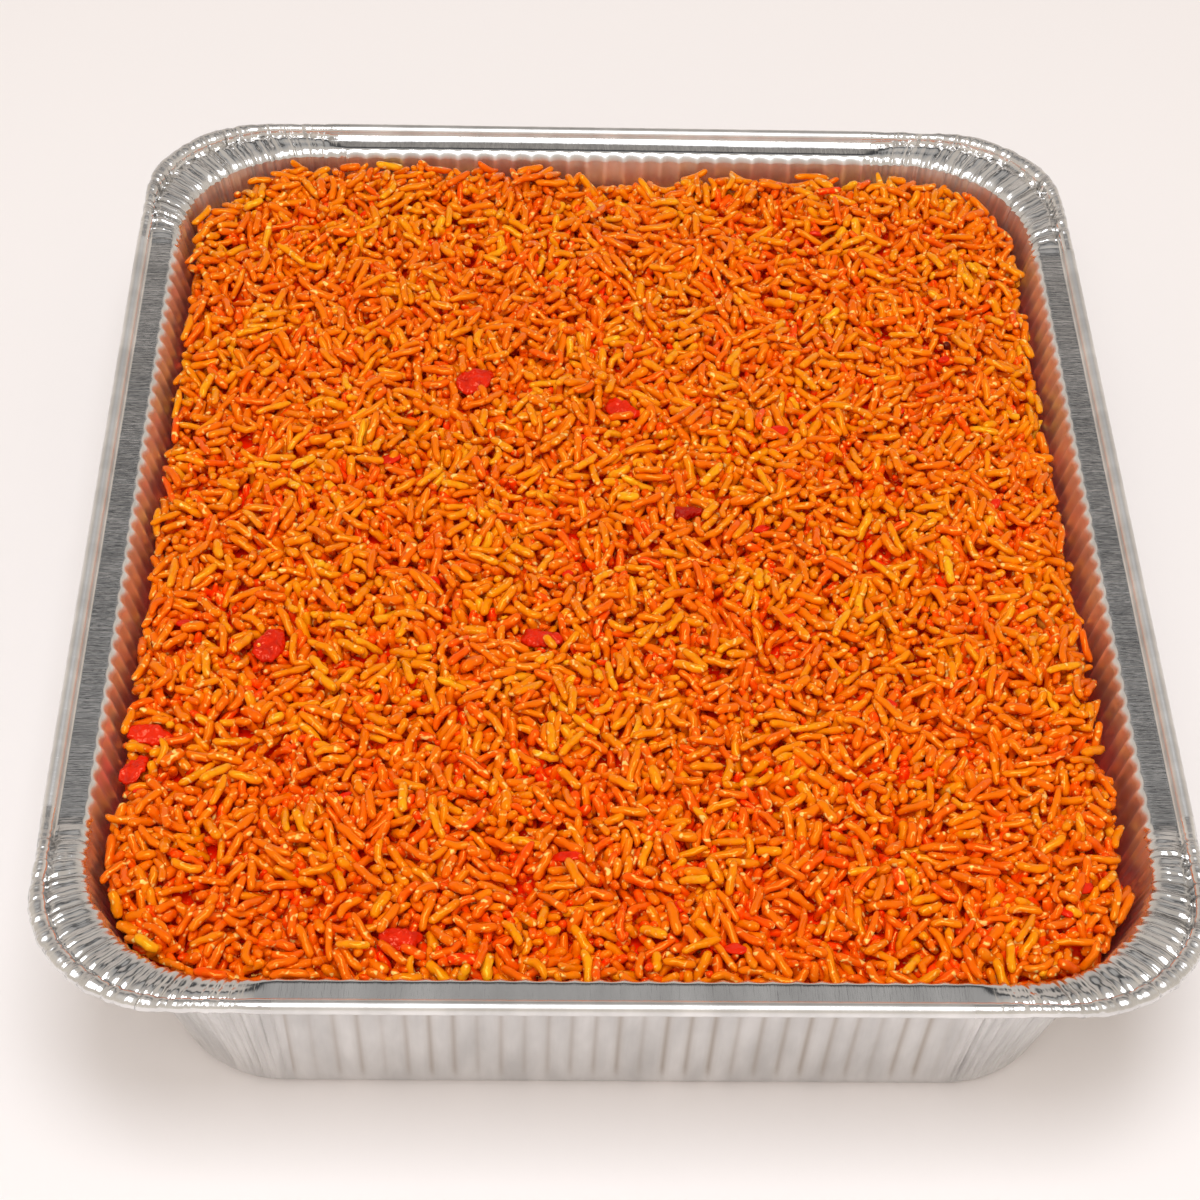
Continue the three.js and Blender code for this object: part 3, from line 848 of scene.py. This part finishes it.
# A copy of the rice finish mixed towards deep red: painted shade for the bottom of the gaps.
packed_rice_painted_shade = cooked_rice("packed_jollof_rice", 0.75)
rice_core.data.materials.append(packed_rice_painted_shade)
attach(rice_core, "root")
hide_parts("rice_heap")

# %% [markdown]
# ## Grains: their shapes
# A cooked long grain is about 9 mm long and 2.4 mm thick, with blunt tapered ends. Some are
# straight, some bent by swelling against their neighbours, some broken. A loft along a bent
# line gives the form with under a hundred faces, which matters because thousands are laid.

# %% Grain shapes
GRAIN_SIDES = 6
GRAIN_RINGS = (-0.955, -0.82, -0.30, 0.30, 0.82, 0.955)
GRAIN_KINDS = {
    "straight_grain": dict(length=8.4, width=2.40, bend=0.15, blunt=7, share=0.19),
    "slim_grain": dict(length=9.6, width=2.15, bend=0.35, blunt=6, share=0.15),
    "bent_grain": dict(length=8.2, width=2.35, bend=0.80, blunt=6, share=0.16),
    "curled_grain": dict(length=7.4, width=2.25, bend=1.40, blunt=6, share=0.08),
    "plump_grain": dict(length=6.8, width=2.70, bend=0.20, blunt=6, share=0.20),
    "short_grain": dict(length=4.8, width=2.45, bend=0.10, blunt=5, share=0.18),
    "crumb": dict(length=2.3, width=1.8, bend=0.10, blunt=3, share=0.05),
}


def grain_mesh(name, length, width, bend, blunt, seed):
    """A blunt, slightly lumpy loft whose middle line is bent sideways."""
    draw = np.random.default_rng(seed)
    points = [[-length / 2, -bend / 2, 0]]
    for k, along in enumerate(GRAIN_RINGS):
        radius = width / 2 * (1 - abs(along) ** blunt) ** 0.5 * draw.uniform(0.94, 1.05)
        middle = bend * (0.5 - along ** 2)
        for side in range(GRAIN_SIDES):
            angle = 2 * math.pi * (side + 0.5 * (k % 2)) / GRAIN_SIDES
            lump = draw.uniform(0.92, 1.08)
            points.append([along * length / 2, middle + radius * lump * math.cos(angle),
                           0.90 * radius * lump * math.sin(angle)])
    points.append([length / 2, -bend / 2, 0])
    last = 1 + (len(GRAIN_RINGS) - 1) * GRAIN_SIDES
    faces = []
    for side in range(GRAIN_SIDES):
        after = (side + 1) % GRAIN_SIDES
        faces.append((0, 1 + after, 1 + side))
        for k in range(len(GRAIN_RINGS) - 1):
            low, high = 1 + k * GRAIN_SIDES, 1 + (k + 1) * GRAIN_SIDES
            faces.append((low + side, low + after, high + after, high + side))
        faces.append((len(points) - 1, last + side, last + after))
    return mesh_object(name, points, faces)


grain_shapes = []
for i, (name, kind) in enumerate(GRAIN_KINDS.items()):
    form = {key: value for key, value in kind.items() if key != "share"}
    grain_shapes.append(grain_mesh(name + "_shape", seed=60 + i, **form))
print("triangles in a grain:", GRAIN_SIDES * 2 * len(GRAIN_RINGS))

# %% [markdown]
# ## Grains: laying them down
# Real rice comes to rest grain on grain, so an even scatter looks wrong: grains would float
# or cross. A rigid-body simulation of so many grains takes far too long. This cell lays
# them one at a time on a grid of heights instead. It looks for a place that is still low,
# tries a few directions, lets the grain tip until it rests on the grid at both sides of its
# middle, and then raises the grid under it. A share of the grains is pushed in steeply, as
# happens when a spoon turns the rice, and show only an end.

# %% Lay grains on a grid of heights
GRAIN_COUNT = 12800
SINK = 0.42
TRIES = 7
PLACES_TRIED = 40
STEEP_SHARE = 0.26
STEEPNESS = (0.9, 2.6)
BLOCKED = 50.0
NO_CEILING = 1000.0
# The grains stand higher along the walls, most of all at the back.
EDGE_RISE = 1.4
BACK_EDGE_RISE = 2.2
BACK_FROM_Y = 100
EDGE_WIDTH = 12
kind_names = list(GRAIN_KINDS)
kind_share = np.array([GRAIN_KINDS[n]["share"] for n in kind_names])
axis_steps = np.linspace(-1, 1, 9)
side_steps = np.array([-0.62, 0.0, 0.62])


def soft_relief(size, height, seed):
    """Random hills over the grid, of a given size and height in millimetres."""
    rough = np.random.default_rng(seed).normal(size=level.shape)
    wave_x = np.fft.fftfreq(level.shape[0], GRID_STEP)[:, None]
    wave_y = np.fft.rfftfreq(level.shape[1], GRID_STEP)[None, :]
    keep = np.exp(-0.5 * (wave_x ** 2 + wave_y ** 2) * (math.pi * size / 2) ** 2)
    hills = np.fft.irfft2(np.fft.rfft2(rough) * keep, s=level.shape)
    return hills * height / hills.std()


lumpy_level = (level + soft_relief(14, 0.60, 4) + soft_relief(6, 0.55, 5)
               + (EDGE_RISE + BACK_EDGE_RISE * (grid_y[None, :] > BACK_FROM_Y))
               * np.clip(1 - from_wall / EDGE_WIDTH, 0, 1))


# %% The bed that grains are laid on
class GrainBed:
    """The heights of what is laid so far, and the grains that were laid."""

    def __init__(self, seed):
        self.draw = np.random.default_rng(seed)
        self.heights = np.where(from_wall > CORE_SET_BACK, level - CORE_DEPTH,
                                level - CORE_DEPTH - 6)
        self.ceiling = np.full_like(level, NO_CEILING)
        self.grains = []

    def cells(self, x, y):
        i = np.clip(((x - grid_x[0]) / GRID_STEP + 0.5).astype(int), 0, len(grid_x) - 1)
        j = np.clip(((y - grid_y[0]) / GRID_STEP + 0.5).astype(int), 0, len(grid_y) - 1)
        return i, j

    def low_place(self):
        """Of many random places, the one where the rice is furthest under its level."""
        x = self.draw.uniform(grid_x[0] + 2, grid_x[-1] - 2, PLACES_TRIED)
        y = self.draw.uniform(grid_y[0] + 2, grid_y[-1] - 2, PLACES_TRIED)
        i, j = self.cells(x, y)
        room = from_wall[i, j] + WALL_SLOPE * (self.heights[i, j] - FILL_Z)
        missing = np.where(room > 1.1, lumpy_level[i, j] - self.heights[i, j], -99.0)
        missing += self.draw.uniform(-0.7, 0.7, len(x))
        best = int(np.argmax(missing))
        return x[best], y[best], missing[best]

    def rest(self, x, y, turns, length, radius):
        """Middle height and slope of a grain laid at each of several turns."""
        reach = length / 2 - radius * 0.5
        along = axis_steps * reach
        ax, ay = np.cos(turns)[:, None, None], np.sin(turns)[:, None, None]
        side = side_steps[None, None, :] * radius
        px = x + ax * along[None, :, None] - ay * side
        py = y + ay * along[None, :, None] + ax * side
        i, j = self.cells(px, py)
        ground = self.heights[i, j] + np.sqrt(np.maximum(radius ** 2 - side ** 2, 0))
        need = ground.max(2)
        roof = self.ceiling[i, j].min((1, 2))
        room = from_wall[i[:, :, 1], j[:, :, 1]].min(1)
        left, right_side = need[:, :4], need[:, 5:]
        span_left, span_right = -along[:4], along[5:]
        middle = (left[:, :, None] * span_right[None, None, :]
                  + right_side[:, None, :] * span_left[None, :, None]) \
            / (span_left[None, :, None] + span_right[None, None, :])
        flat = middle.reshape(len(turns), -1)
        pick = flat.argmax(1)
        li, ri = pick // 4, pick % 4
        rows = np.arange(len(turns))
        slope = (right_side[rows, ri] - left[rows, li]) / (span_left[li] + span_right[ri])
        height = np.maximum(flat[rows, pick], need[:, 4])
        room = room + WALL_SLOPE * (height - np.abs(slope) * reach - FILL_Z)
        return height, np.clip(slope, -1.1, 1.1), room, roof

    def raise_under(self, x, y, z, turn, slope, length, radius):
        """Raises the grid to the upper face of a laid grain."""
        cosine = 1 / math.sqrt(1 + slope * slope)
        reach = length / 2 * cosine + 1
        i0, j0 = self.cells(np.array([x - reach]), np.array([y - reach]))
        i1, j1 = self.cells(np.array([x + reach]), np.array([y + reach]))
        block = (slice(int(i0[0]), int(i1[0]) + 1), slice(int(j0[0]), int(j1[0]) + 1))
        dx = grid_x[block[0]][:, None] - x
        dy = grid_y[block[1]][None, :] - y
        along = dx * math.cos(turn) + dy * math.sin(turn)
        side = -dx * math.sin(turn) + dy * math.cos(turn)
        share = np.abs(along) / (length / 2 * cosine)
        wide = radius ** 2 * np.maximum(1 - share ** 6, 0) - side ** 2
        top = z + slope * along + np.sqrt(np.maximum(wide, 0))
        self.heights[block] = np.where(wide > 0, np.maximum(self.heights[block], top),
                                       self.heights[block])

    def lay(self, kind, cover_limit):
        """Lays one grain of a kind, or gives up if it would stand too high there."""
        spec = GRAIN_KINDS[kind]
        stretch = self.draw.uniform(0.86, 1.10)
        plump = self.draw.uniform(0.90, 1.08)
        length = spec["length"] * stretch
        radius = spec["width"] / 2 * plump
        x, y, missing = self.low_place()
        turns = self.draw.uniform(0, math.pi, TRIES)
        height, slope, room, roof = self.rest(x, y, turns, length, radius)
        over_wall = np.where(room < radius, BLOCKED, 0.0)
        over_roof = np.where(height + radius > roof, BLOCKED, 0.0)
        best = int(np.argmin(height + over_wall + over_roof
                             + self.draw.uniform(0, 0.8, TRIES)))
        if over_wall[best] or over_roof[best]:
            return
        i, j = self.cells(np.array([x]), np.array([y]))
        top_limit = lumpy_level[i[0], j[0]] + cover_limit
        turn, tip, z = turns[best], slope[best], height[best] - SINK
        if self.draw.random() < STEEP_SHARE and missing > 0.5 and from_wall[i[0], j[0]] > 4:
            tip = self.draw.choice([-1, 1]) * self.draw.uniform(*STEEPNESS)
            run = abs(tip) / math.sqrt(1 + tip * tip) * length / 2
            z = min(z, top_limit - run - radius * 0.3)
        if z + abs(tip) * 1.2 + radius * 0.5 > top_limit + 1.1:
            return
        self.raise_under(x, y, z, turn, tip, length, radius)
        self.grains.append((kind, x, y, z, turn, tip, stretch, plump))


bed = GrainBed(seed=12)

# %% [markdown]
# ## Red pepper: where the pieces lie
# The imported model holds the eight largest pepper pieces. While the lower grains are laid, no
# grain may reach into them; then each piece raises the grid like a grain does, and the last
# grains may lie over its edge but not over its middle, so that the pieces show half buried.

# %% Heights of the pepper pieces
pepper_nodes = sorted(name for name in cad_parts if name.startswith("red_pepper"))


def footprint(node):
    """Grid cells over a node, with the heights of its upper and lower faces."""
    low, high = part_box(node)
    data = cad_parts[node].data
    solid = BVHTree.FromPolygons([v.co for v in data.vertices],
                                 [tuple(p.vertices) for p in data.polygons])
    found = []
    for i in np.where((grid_x > low.x / MM) & (grid_x < high.x / MM))[0]:
        for j in np.where((grid_y > low.y / MM) & (grid_y < high.y / MM))[0]:
            x, y = grid_x[i] * MM, grid_y[j] * MM
            upper = solid.ray_cast(Vector((x, y, 1)), Vector((0, 0, -1)))[0]
            under = solid.ray_cast(Vector((x, y, 0)), Vector((0, 0, 1)))[0]
            if upper is not None and under is not None:
                found.append((i, j, upper.z / MM, under.z / MM))
    return found


pepper_cells = {node: footprint(node) for node in pepper_nodes}
print({node: len(cells) for node, cells in pepper_cells.items()})

# %% [markdown]
# ## Small bits
# Between the grains lie smaller scraps of pepper and tomato skin, a brown seed pod and a dark
# peppercorn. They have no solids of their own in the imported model. Each is laid on the grid
# where the rice is nearly finished, so that it also gets grains over its edges.

# %% Where the small bits lie
# name, place in x and y, length, width, turn in degrees, and tone from dark 0 to bright 1
SMALL_BITS = [
    ("skin", 43.5, 34.0, 8.0, 5.0, 20, 0.6), ("skin", 99.3, 8.1, 4.6, 3.0, 60, 0.5),
    ("skin", -106.0, -37.5, 7.0, 3.6, -20, 0.4), ("skin", -11.6, -20.3, 3.6, 2.6, 30, 0.5),
    ("skin", 43.0, -34.5, 4.6, 4.0, 75, 1.0), ("skin", -89.7, -74.1, 5.0, 3.4, 10, 0.5),
    ("skin", 4.8, -97.7, 6.4, 3.4, 50, 0.6), ("skin", -12.7, -112.0, 9.0, 4.2, -10, 0.6),
    ("skin", 13.1, -126.5, 5.4, 3.4, 70, 0.8), ("skin", 25.0, -137.8, 7.0, 4.0, -25, 0.4),
    ("skin", -58.0, 22.2, 7.0, 4.0, 35, 0.5), ("skin", 60.0, 120.8, 4.4, 2.6, 10, 0.5),
    ("skin", 16.7, 117.5, 3.8, 2.8, 80, 0.5), ("skin", 106.0, -120.0, 6.0, 3.6, 20, 0.5),
    ("skin", 100.5, -127.0, 5.0, 3.0, -50, 0.3), ("skin", 92.0, 66.0, 4.0, 2.6, 15, 0.4),
    ("skin", -8.0, 31.0, 5.0, 2.4, 45, 0.4), ("skin", -45.0, -23.0, 4.4, 2.8, -70, 0.3),
    ("skin", -46.0, 57.0, 4.0, 2.6, 15, 0.5), ("skin", 38.0, -3.0, 5.0, 2.6, 5, 0.3),
    ("skin", -112.0, -92.0, 4.0, 2.6, 0, 0.6), ("skin", 66.0, -64.0, 4.2, 2.4, -35, 0.4),
    ("skin", -64.0, -95.0, 4.6, 2.6, 25, 0.5), ("skin", 78.0, 44.0, 4.0, 2.4, 80, 0.4),
    ("pod", 107.8, -32.9, 5.6, 5.2, 0, 0.5), ("corn", 93.2, 72.0, 2.6, 2.5, 0, 0.5),
]
BIT_THICKNESS = {"skin": 1.3, "pod": 3.4, "corn": 2.4}


def lay_bit(bed, bit):
    """Rests a bit on the grid, raises the grid over it, and returns the bit's height."""
    kind, x, y, length, width, turn, _ = bit
    thick = BIT_THICKNESS[kind]
    angle = math.radians(turn)
    dx = grid_x[:, None] - x
    dy = grid_y[None, :] - y
    along = (dx * math.cos(angle) + dy * math.sin(angle)) / (length / 2)
    side = (-dx * math.sin(angle) + dy * math.cos(angle)) / (width / 2)
    inside = along ** 2 + side ** 2 < 1
    ground = bed.heights[inside]
    z = min(np.percentile(ground, 70) + thick * 0.4, level[inside].mean() + 0.9 - thick / 2)
    bed.heights[inside] = np.maximum(ground, z + thick / 2)
    bed.ceiling[along ** 2 + side ** 2 < 0.45] = 0
    return z


# %% Lay the grains, the peppers and the bits
EARLY_SHARE = 0.84
# How far above the level the first and the last grains may stand, in millimetres
EARLY_COVER = 0.9
LAST_COVER = 1.6
# How far grains may reach into the underside of a pepper piece, and the share of its reach
# from the middle that the last grains leave clear
PEPPER_BITE = 0.9
CLEAR_MIDDLE = 0.36


def fill_pan():
    for cells in pepper_cells.values():
        for i, j, upper, under in cells:
            bed.ceiling[i, j] = under + PEPPER_BITE
    early = int(GRAIN_COUNT * EARLY_SHARE)
    attempts = 0
    while len(bed.grains) < early and attempts < 4 * GRAIN_COUNT:
        attempts += 1
        bed.lay(bed.draw.choice(kind_names, p=kind_share / kind_share.sum()), EARLY_COVER)
    for cells in pepper_cells.values():
        middle_x = np.mean([c[0] for c in cells])
        middle_y = np.mean([c[1] for c in cells])
        reach = max(math.hypot(c[0] - middle_x, c[1] - middle_y) for c in cells)
        for i, j, upper, under in cells:
            bed.heights[i, j] = max(bed.heights[i, j], upper)
            central = math.hypot(i - middle_x, j - middle_y) < CLEAR_MIDDLE * reach
            bed.ceiling[i, j] = 0 if central else NO_CEILING
    heights = [lay_bit(bed, bit) for bit in SMALL_BITS]
    while len(bed.grains) < GRAIN_COUNT and attempts < 8 * GRAIN_COUNT:
        attempts += 1
        bed.lay(bed.draw.choice(kind_names, p=kind_share / kind_share.sum()), LAST_COVER)
    return attempts, heights


attempts, bit_heights = fill_pan()
missing = (level - bed.heights)[from_wall > 4]
print(f"{len(bed.grains)} grains in {attempts} tries, "
      f"surface {missing.mean():.2f} mm under the level, spread {missing.std():.2f} mm")

# %% [markdown]
# ## Grains: one mesh for each kind
# Each laid grain is a point with a turn, a stretch and a tint. A Geometry Nodes tree puts the
# kind's grain on every point, makes the instances real and sets the material, so that each
# kind ends as one plain mesh.

# %% Geometry Nodes that put a grain on every point
def grain_tree():
    tree, given = new_tree("Put grains on points", {"Points": "Geometry", "Grain": "Object",
                                                    "Size": "Float", "Material": "Material"})
    grain = add_node(tree, "GeometryNodeObjectInfo", {"Object": given.outputs["Grain"]})
    turn = add_node(tree, "GeometryNodeInputNamedAttribute", {"Name": "turn"},
                    data_type="FLOAT_VECTOR")
    spin = add_node(tree, "FunctionNodeEulerToRotation", {0: turn.outputs[0]})
    stretch = add_node(tree, "GeometryNodeInputNamedAttribute", {"Name": "stretch"},
                       data_type="FLOAT_VECTOR")
    size = add_node(tree, "ShaderNodeVectorMath", {0: stretch.outputs[0],
                                                   "Scale": given.outputs["Size"]},
                    operation="SCALE")
    points = add_node(tree, "GeometryNodeMeshToPoints", {0: given.outputs["Points"]})
    put = add_node(tree, "GeometryNodeInstanceOnPoints",
                   {"Points": points.outputs[0], "Instance": grain.outputs["Geometry"],
                    "Rotation": spin.outputs[0], "Scale": size.outputs[0]})
    return close_tree(tree, given, put)


put_grains = grain_tree()
roll_draw = np.random.default_rng(77)
for kind, shape in zip(kind_names, grain_shapes):
    laid = [g for g in bed.grains if g[0] == kind]
    points, turns, stretches, tints_with_painted_gap_shade = [], [], [], []
    for _, x, y, z, turn, tip, stretch, plump in laid:
        roll = roll_draw.choice([0, math.pi]) + roll_draw.normal(0, 0.4)
        points.append((x, y, z))
        turns.append((roll, -math.atan(tip), turn))
        stretches.append((stretch, plump, plump))
        i, j = bed.cells(np.array([x]), np.array([y]))
        # Grains that lie deep under the level get a lower tint, a deeper red that paints the
        # shade in the gaps. Grains towards the front get a lower tint too.
        depth = max(0.0, level[i[0], j[0]] - z - 0.8)
        front = np.clip((-50 - y) / 80, 0, 1)
        tints_with_painted_gap_shade.append(np.clip(roll_draw.normal(0.58, 0.18) - 0.16 * depth - 0.13 * front, 0, 1))
    grains = mesh_object(kind + "s", points, [])
    store(grains.data, "turn", "FLOAT_VECTOR", turns)
    store(grains.data, "stretch", "FLOAT_VECTOR", stretches)
    store(grains.data, "tint", "FLOAT", tints_with_painted_gap_shade)
    run_nodes(grains, put_grains, Grain=shape, Size=1.0, Material=rice)
    grains.data.polygons.foreach_set("use_smooth", [True] * len(grains.data.polygons))
    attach(grains, "root")
    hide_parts("rice_heap")
    print(grains.name, len(laid), "grains,", len(grains.data.polygons), "faces")
for shape in grain_shapes:
    bpy.data.objects.remove(shape)

# %% [markdown]
# ## Red pepper finish and form
# Cooked red pepper is a soft flake with a tight shiny skin on one side. It is deep red, goes
# brighter where the light comes through thin edges, and wrinkles finely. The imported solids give
# size and place. Each detailed piece is a copy of its solid, subdivided until it is round and
# then wrinkled by noise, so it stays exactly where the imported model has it.

# %% Cooked red pepper
def cooked_pepper(name, dark, bright):
    material, tree, output = new_material(name)
    body = add_node(tree, "ShaderNodeTexCoord")
    tone = add_node(tree, "ShaderNodeAttribute", attribute_name="tint")
    cloud = add_node(tree, "ShaderNodeTexNoise", {0: body.outputs["Object"],
                                                  "Scale": 1 / (3 * MM), "Detail": 3.0})
    shade = add_node(tree, "ShaderNodeMath", {0: cloud.outputs[0], 1: tone.outputs["Fac"]},
                     operation="ADD")
    colour = add_node(tree, "ShaderNodeValToRGB", {0: shade.outputs[0]},
                      stops=[(0.45, linear(dark)), (1.0, linear(bright))])
    wrinkles = add_node(tree, "ShaderNodeTexNoise", {0: body.outputs["Object"],
                                                     "Scale": 1 / (0.9 * MM), "Detail": 3.0,
                                                     "Distortion": 0.6})
    bump = add_node(tree, "ShaderNodeBump", {"Strength": 0.8, "Distance": 0.16 * MM,
                                             "Height": wrinkles.outputs[0]})
    shader = add_node(tree, "ShaderNodeBsdfPrincipled",
                      {"Base Color": colour.outputs[0], "Roughness": 0.10, "IOR": 1.45,
                       "Specular IOR Level": 0.8, "Specular Tint": linear("#FFA880"),
                       "Normal": bump.outputs[0]})
    tree.links.new(shader.outputs[0], output.inputs[0])
    return material


pepper = cooked_pepper("cooked_red_pepper", "#A00400", "#E82404")
pod_skin = cooked_pepper("cooked_brown_pod", "#7A4006", "#C07A22")
corn_skin = cooked_pepper("dark_peppercorn", "#240402", "#5A1408")


def wrinkle(mesh, height, size, seed):
    """Moves points along their normals by noise of a given height and size, in millimetres."""
    places = np.empty(len(mesh.vertices) * 3)
    mesh.vertices.foreach_get("co", places)
    places = places.reshape(-1, 3)
    normals = np.empty(len(mesh.vertices) * 3, dtype=np.float32)
    mesh.vertex_normals.foreach_get("vector", normals)
    normals = normals.reshape(-1, 3)
    shift = np.array((seed * 7.1, seed * 3.3, seed * 1.7))
    for place, normal in zip(places, normals):
        at = place / (size * MM) + shift
        amount = noise.noise(at) + 0.5 * noise.noise(at * 2.3)
        place += normal * amount * height * MM
    mesh.vertices.foreach_set("co", places.ravel())


WRINKLE_SIZE = 2.4


def finish_flake(thing, node_names, material, levels, tone, seed, wrinkle_height=0.75):
    """Rounds, wrinkles and paints a flake."""
    data = bmesh.new()
    data.from_mesh(thing.data)
    bmesh.ops.remove_doubles(data, verts=data.verts, dist=0.01 * MM)
    bmesh.ops.recalc_face_normals(data, faces=data.faces)
    data.to_mesh(thing.data)
    data.free()
    rounded = thing.modifiers.new("rounded", "SUBSURF")
    rounded.levels = levels
    rounded.render_levels = levels
    evaluated = thing.evaluated_get(bpy.context.evaluated_depsgraph_get())
    made = bpy.data.meshes.new_from_object(evaluated)
    thing.modifiers.clear()
    thing.data = made
    wrinkle(made, wrinkle_height, WRINKLE_SIZE, seed)
    made.polygons.foreach_set("use_smooth", [True] * len(made.polygons))
    store(made, "tint", "FLOAT", np.full(len(made.vertices), tone))
    made.materials.clear()
    made.materials.append(material)
    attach(thing, "root")
    if node_names:
        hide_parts(*node_names)


pepper_tones = (0.55, 0.50, 0.35, 0.40, 0.38, 0.45, 0.05, 0.40)
for i, (node, tone) in enumerate(zip(pepper_nodes, pepper_tones)):
    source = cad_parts[node]
    flake = bpy.data.objects.new(node.replace("red_pepper", "pepper_flake"), source.data.copy())
    bpy.context.collection.objects.link(flake)
    finish_flake(flake, [node], pepper, 3, tone, seed=i + 1)
print("pepper flakes:", len(pepper_nodes))

# %% [markdown]
# ## Small bits: their form
# The scraps of skin are thin three-cornered flakes, the pod and the peppercorn are round. One
# loft makes them all: a ring of points whose radius changes with the angle, closed above and
# below, then rounded and wrinkled like the larger pieces and joined to one mesh for each kind.

# %% Small bits
def bit_mesh(kind, length, width, draw):
    sides = 12
    thick = BIT_THICKNESS[kind]
    uneven = 0.16 if kind == "skin" else 0.03
    lobes = draw.uniform(1 - uneven, 1 + uneven, sides)
    rings = [(0.62, thick / 2), (1.0, 0.1 * thick), (0.64, -thick / 2)]
    points = [(0, 0, thick / 2)]
    for spread, z in rings:
        for side in range(sides):
            angle = 2 * math.pi * side / sides
            x = length / 2 * lobes[side] * spread * math.cos(angle)
            y = width / 2 * lobes[side] * spread * math.sin(angle)
            bend = 0.25 * thick * (x / length) ** 2 * 4 if kind == "skin" else 0
            points.append((x, y, z - bend))
    points.append((0, 0, -thick / 2))
    faces = []
    for side in range(sides):
        after = (side + 1) % sides
        faces.append((0, 1 + side, 1 + after))
        for k in (0, 1):
            low, high = 1 + k * sides, 1 + (k + 1) * sides
            faces.append((low + side, high + side, high + after, low + after))
        faces.append((len(points) - 1, 1 + 2 * sides + after, 1 + 2 * sides + side))
    return np.array(points), faces


def make_bits(kind, name, material):
    draw = np.random.default_rng(31)
    all_points, all_faces, all_tones = [], [], []
    for bit, z in zip(SMALL_BITS, bit_heights):
        if bit[0] != kind:
            continue
        _, x, y, length, width, turn, tone = bit
        points, faces = bit_mesh(kind, length, width, draw)
        tilt = draw.uniform(-0.35, 0.35, 2) if kind == "skin" else (0, 0)
        spin = (Matrix.Rotation(math.radians(turn), 3, "Z")
                @ Matrix.Rotation(tilt[0], 3, "X") @ Matrix.Rotation(tilt[1], 3, "Y"))
        placed = points @ np.array(spin).T + (x, y, z)
        offset = sum(len(p) for p in all_points)
        all_faces += [tuple(offset + v for v in face) for face in faces]
        all_points.append(placed)
        all_tones.append(tone)
    made = mesh_object(name, np.concatenate(all_points), all_faces)
    finish_flake(made, [], material, 2, float(np.mean(all_tones)), seed=9, wrinkle_height=0.2)
    print(name, len(all_tones))


for kind, name, skin_finish in (("skin", "pepper_scraps", pepper),
                                ("pod", "brown_pod", pod_skin),
                                ("corn", "peppercorn", corn_skin)):
    make_bits(kind, name, skin_finish)
